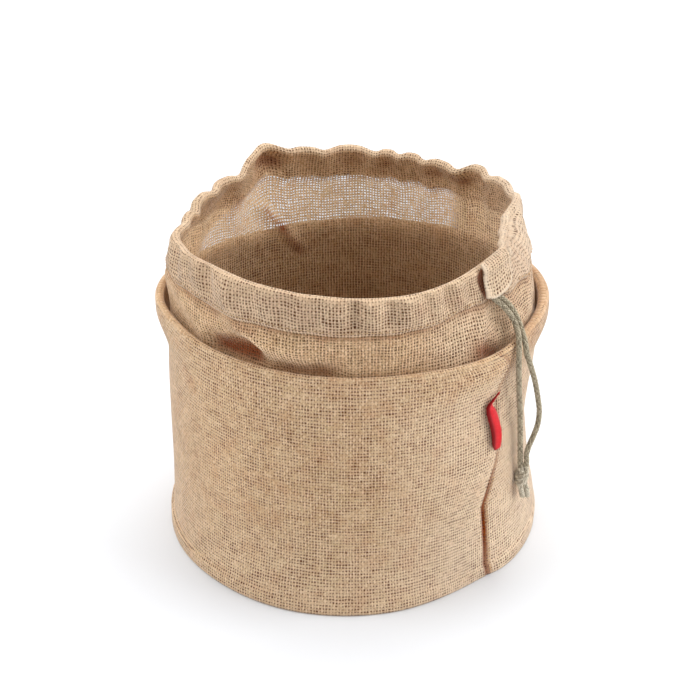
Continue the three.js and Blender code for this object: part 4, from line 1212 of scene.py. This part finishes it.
# %% Tree of the threads
def thread_tree():
    """Short spindles set along a line, turned along it or towards one direction."""
    tree, given, add = new_geometry_tree("threads", {
        "Spacing": 0.004, "Length": 0.0024, "Radius": 0.0004, "Along": 1.0,
        "Direction": (0.0, 0.0, 0.0), "Scatter": 0.2, "Seed": 1, "Material": None,
    })
    points = add("CurveToPoints", given["Geometry"], mode="LENGTH",
                 named={"Length": given["Spacing"]})
    towards = add("VectorMath", "MULTIPLY_ADD", points.node.outputs["Tangent"], given["Along"],
                  given["Direction"])
    rotation = add("AlignRotationToVector", axis="Z", named={"Vector": towards})
    half = add("Math", "MULTIPLY", given["Length"], 0.5)
    size = add("CombineXYZ", given["Radius"], given["Radius"], half)
    spindle = add("Transform", add("MeshUVSphere", 6, 5, 1.0), named={"Scale": size})
    placed = add("InstanceOnPoints", points, named={"Instance": spindle, "Rotation": rotation})
    least = add("Math", "MULTIPLY", given["Scatter"], -1.0)
    turn = add("RandomValue", least, given["Scatter"], data_type="FLOAT_VECTOR",
               named={"Seed": given["Seed"]})
    turned = add("RotateInstances", placed, named={"Rotation": turn})
    uneven = add("RandomValue", (0.8, 0.8, 0.55), (1.15, 1.15, 1.2), data_type="FLOAT_VECTOR",
                 named={"Seed": given["Seed"]})
    scaled = add("ScaleInstances", turned, named={"Scale": uneven})
    end_geometry_tree(add, scaled, given["Material"])
    return tree


def spun_jute():
    """Hand-twisted jute thread: matt, straw brown, a little lighter and darker along it."""
    material, add = new_material("spun jute thread")
    streaks = add("TexNoise", add("TexCoord", out=3), named={"Scale": 700.0, "Detail": 2.0})
    colour = add("Mix", streaks, **COLOURS, named={6: linear("9c744c"), 7: linear("e2c39c")})
    bump = add("Bump", named={"Height": streaks, "Distance": 0.00008})
    surface = add("BsdfPrincipled", colour, named={
        "Roughness": 0.95, "Normal": bump, "Specular IOR Level": 0.05})
    add("OutputMaterial", surface)
    return material


# %% Make the threads
THREADS = thread_tree()
SPUN_JUTE = spun_jute()
STITCH = {"spacing": 0.0042, "length": 0.003, "radius": 0.00035, "scatter": 0.15, "seed": 3}
STITCH_POSITION, STITCH_PROUD = -0.86, 0.15
STITCH_FROM, STITCH_TO = 66, 404
CUT_HEIGHTS = (4, 74)
CUT_END = {"spacing": 0.0021, "length": 0.0036, "radius": 0.0004, "scatter": 0.35, "seed": 5}
CUT_RIGHT, CUT_PROUD = 2.1, 0.35
CUT_DIRECTION = (math.cos(math.radians(45)), math.sin(math.radians(45)), 0.0)


def hem_line():
    """The line of the hem's stitches on the casing, clear of the slit and the flap."""
    bearing = np.linspace(STITCH_FROM, STITCH_TO, 700)
    radius, height = casing_outer(bearing, np.full(bearing.shape, STITCH_POSITION))
    return around(bearing, radius + STITCH_PROUD, height)


def cut_line():
    """The line of cut yarns at the right of the seam, from the foot to the label."""
    height = np.linspace(*CUT_HEIGHTS, 140)
    bearing = sleeve_bearing(LAP_BEARING + CUT_RIGHT, height)
    return around(bearing, sleeve_radius(bearing, height) + CUT_PROUD, height)


hem_stitches = grow("hem_stitches", curve_object("route", [hem_line()]), THREADS, **STITCH,
                    material=SPUN_JUTE)
cut_ends = grow("cut_ends_of_seam", curve_object("route", [cut_line()]), THREADS, **CUT_END,
                along=0.0, direction=CUT_DIRECTION, material=SPUN_JUTE)
for threads, slot in ((hem_stitches, "jute_sac"), (cut_ends, "jute_sleeve")):
    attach(threads, "root")

# %% [markdown]
# ## Label
# A folded red ribbon is caught in the sleeve's seam. It is bare, woven satin tape. It leaves the
# seam, lies over the left panel and turns back, so the eye meets its fold. A flat card would miss
# the soft turn, so its section is a hairpin, swept up the seam by a table of reach and loft.

# %% Build the label
TAPE = 0.35  # thickness of the ribbon
LABEL_OFF = 2.2  # how far its root stands off the wall, clear of the lap
LABEL_LONG = 41
LABEL = table("height reach loft start", [
    (97.5, 5.2, 1.6, 0), (101, 6.8, 2.2, 0), (108, 7.6, 2.8, 0), (115, 8.4, 3, 0),
    (122.5, 9.6, 3, 0.6), (128, 10.6, 2.8, 2.6), (132.5, 10.2, 2.4, 5.2), (136, 6, 1.8, 2.8),
    (138.5, 1.8, 1.2, 0),
])


def satin_tape():
    """Red woven satin ribbon: a soft band of gloss along its threads, fine ribs across, and a darker
    red painted into its fold as shade.
    """
    material, add = new_material("woven satin tape")
    unrolled = add("UVMap", uv_map="cloth")
    ribs = add("TexWave", unrolled, bands_direction="Y",
               named={"Scale": 0.9, "Distortion": 0.4, "Detail": 1.0})
    cloudy = add("TexNoise", unrolled, named={"Scale": 0.35, "Detail": 3.0})
    colour = add("Mix", cloudy, **COLOURS, named={6: linear("b40f16"), 7: linear("e01f28")})
    fold_shade_mark = add("Attribute", attribute_name="turned", out=2)
    # The fold is painted a darker red: painted shade.
    colour = add("Mix", fold_shade_mark, **COLOURS, named={6: colour, 7: linear("5a0a08")})
    bump = add("Bump", named={"Height": ribs, "Distance": 0.00004})
    surface = add("BsdfPrincipled", colour, named={
        "Roughness": 0.36, "Normal": bump, "Anisotropic": 0.5, "Specular IOR Level": 0.1})
    add("OutputMaterial", surface)
    return material


def label_grid(rows=44):
    """Points of the ribbon: out from the seam, round its fold and back, at each height."""
    height = np.linspace(LABEL["height"][0], LABEL["height"][-1], rows)[:, None]
    reach, loft, start = (
        open_curve(LABEL, "height", c)(height) for c in ("reach", "loft", "start")
    )
    radius = (loft - 2 * TAPE) / 2
    angle = np.linspace(-np.pi / 2, np.pi / 2, 13)[None, :]
    turn_x = reach - radius + radius * np.cos(angle)
    turn_y = loft / 2 + radius * np.sin(angle)
    flat = np.linspace(0, 1, 7)[None, :-1]
    level = lerp(start, reach - radius, flat)
    x = np.hstack([level, turn_x, level[:, ::-1]])
    sink = 0.9 * smooth(height, 104, 126) * (loft - 2 * TAPE)
    back = loft - TAPE - sink * (1 - flat[:, ::-1]) ** 2
    y = np.hstack([TAPE + 0 * flat * reach, turn_y, back])
    seam = sleeve_bearing(LAP_BEARING, height)
    root = sleeve_radius(seam, height) + LABEL_OFF
    return around(seam - 0.3 - np.degrees(x / root), root + y, height + 0 * x)


label_points = label_grid()
label_u = path_lengths(label_points)
label_uv = unroll(np.linspace(0, LABEL_LONG, label_points.shape[0]), label_u)
# The fold's share of the ribbon, which takes the painted shade.
turned = 0.75 * band(label_u / label_u[-1], 0.3, 0.45, 0.56, 0.7)
label_mesh = grid_mesh("label", label_points, label_uv, turned=turned)
label = add_object("label_of_plain_tape", label_mesh, satin_tape())
print("label grid:", label_points.shape[:2])
solidify(label, TAPE * MM)
stand_in(label, "label")

# %% [markdown]
# ## Floor and light
# The bag stands on a plain pale floor. A white world gives even light from all round, a
# large lamp overhead whitens the floor, and two wide lamps at the sides model the round wall:
# the right one is the stronger, so the front stays a little darker than both flanks.

# %% Floor
def floor_paint():
    """Matt white studio floor with a barely visible mottle."""
    material, add = new_material("matt studio floor")
    mottle = add("TexNoise", add("TexCoord", out=3), named={"Scale": 2.0, "Detail": 2.0})
    colour = add("Mix", mottle, **COLOURS, named={6: linear("e3e6ea"), 7: linear("e5e8ec")})
    add("OutputMaterial", add("BsdfPrincipled", colour, named={
        "Roughness": 0.9, "Specular IOR Level": 0.1}))
    return material


FLOOR_HALF = 6.0
floor_mesh = bpy.data.meshes.new("floor")
corners = [(x * FLOOR_HALF, y * FLOOR_HALF, 0) for x, y in ((-1, -1), (1, -1), (1, 1), (-1, 1))]
floor_mesh.from_pydata(corners, [], [(0, 1, 2, 3)])
floor = add_object("floor", floor_mesh, floor_paint())


# %% Lights
def soft_lamp(name, place, aim, size, power):
    """A square area lamp that points at a spot."""
    data = bpy.data.lights.new(name, "AREA")
    data.size = size
    data.energy = power
    lamp = bpy.data.objects.new(name, data)
    lamp.location = place
    lamp.rotation_euler = (Vector(aim) - Vector(place)).to_track_quat("-Z", "Y").to_euler()
    scene.collection.objects.link(lamp)


world = bpy.data.worlds.new("white room")
scene.world = world
world.use_nodes = True
sky = world.node_tree.nodes["Background"].inputs
sky["Color"].default_value = (1, 1, 1, 1)
sky["Strength"].default_value = 0.58
soft_lamp("overhead", (0, 0.9, 2.3), (0, 0, 0.1), 2.3, 50)
soft_lamp("right", (1.9, -0.3, 1.1), (0, 0, 0.12), 1.6, 33)
soft_lamp("left", (-1.9, -0.2, 1.1), (0, 0, 0.12), 1.6, 22)
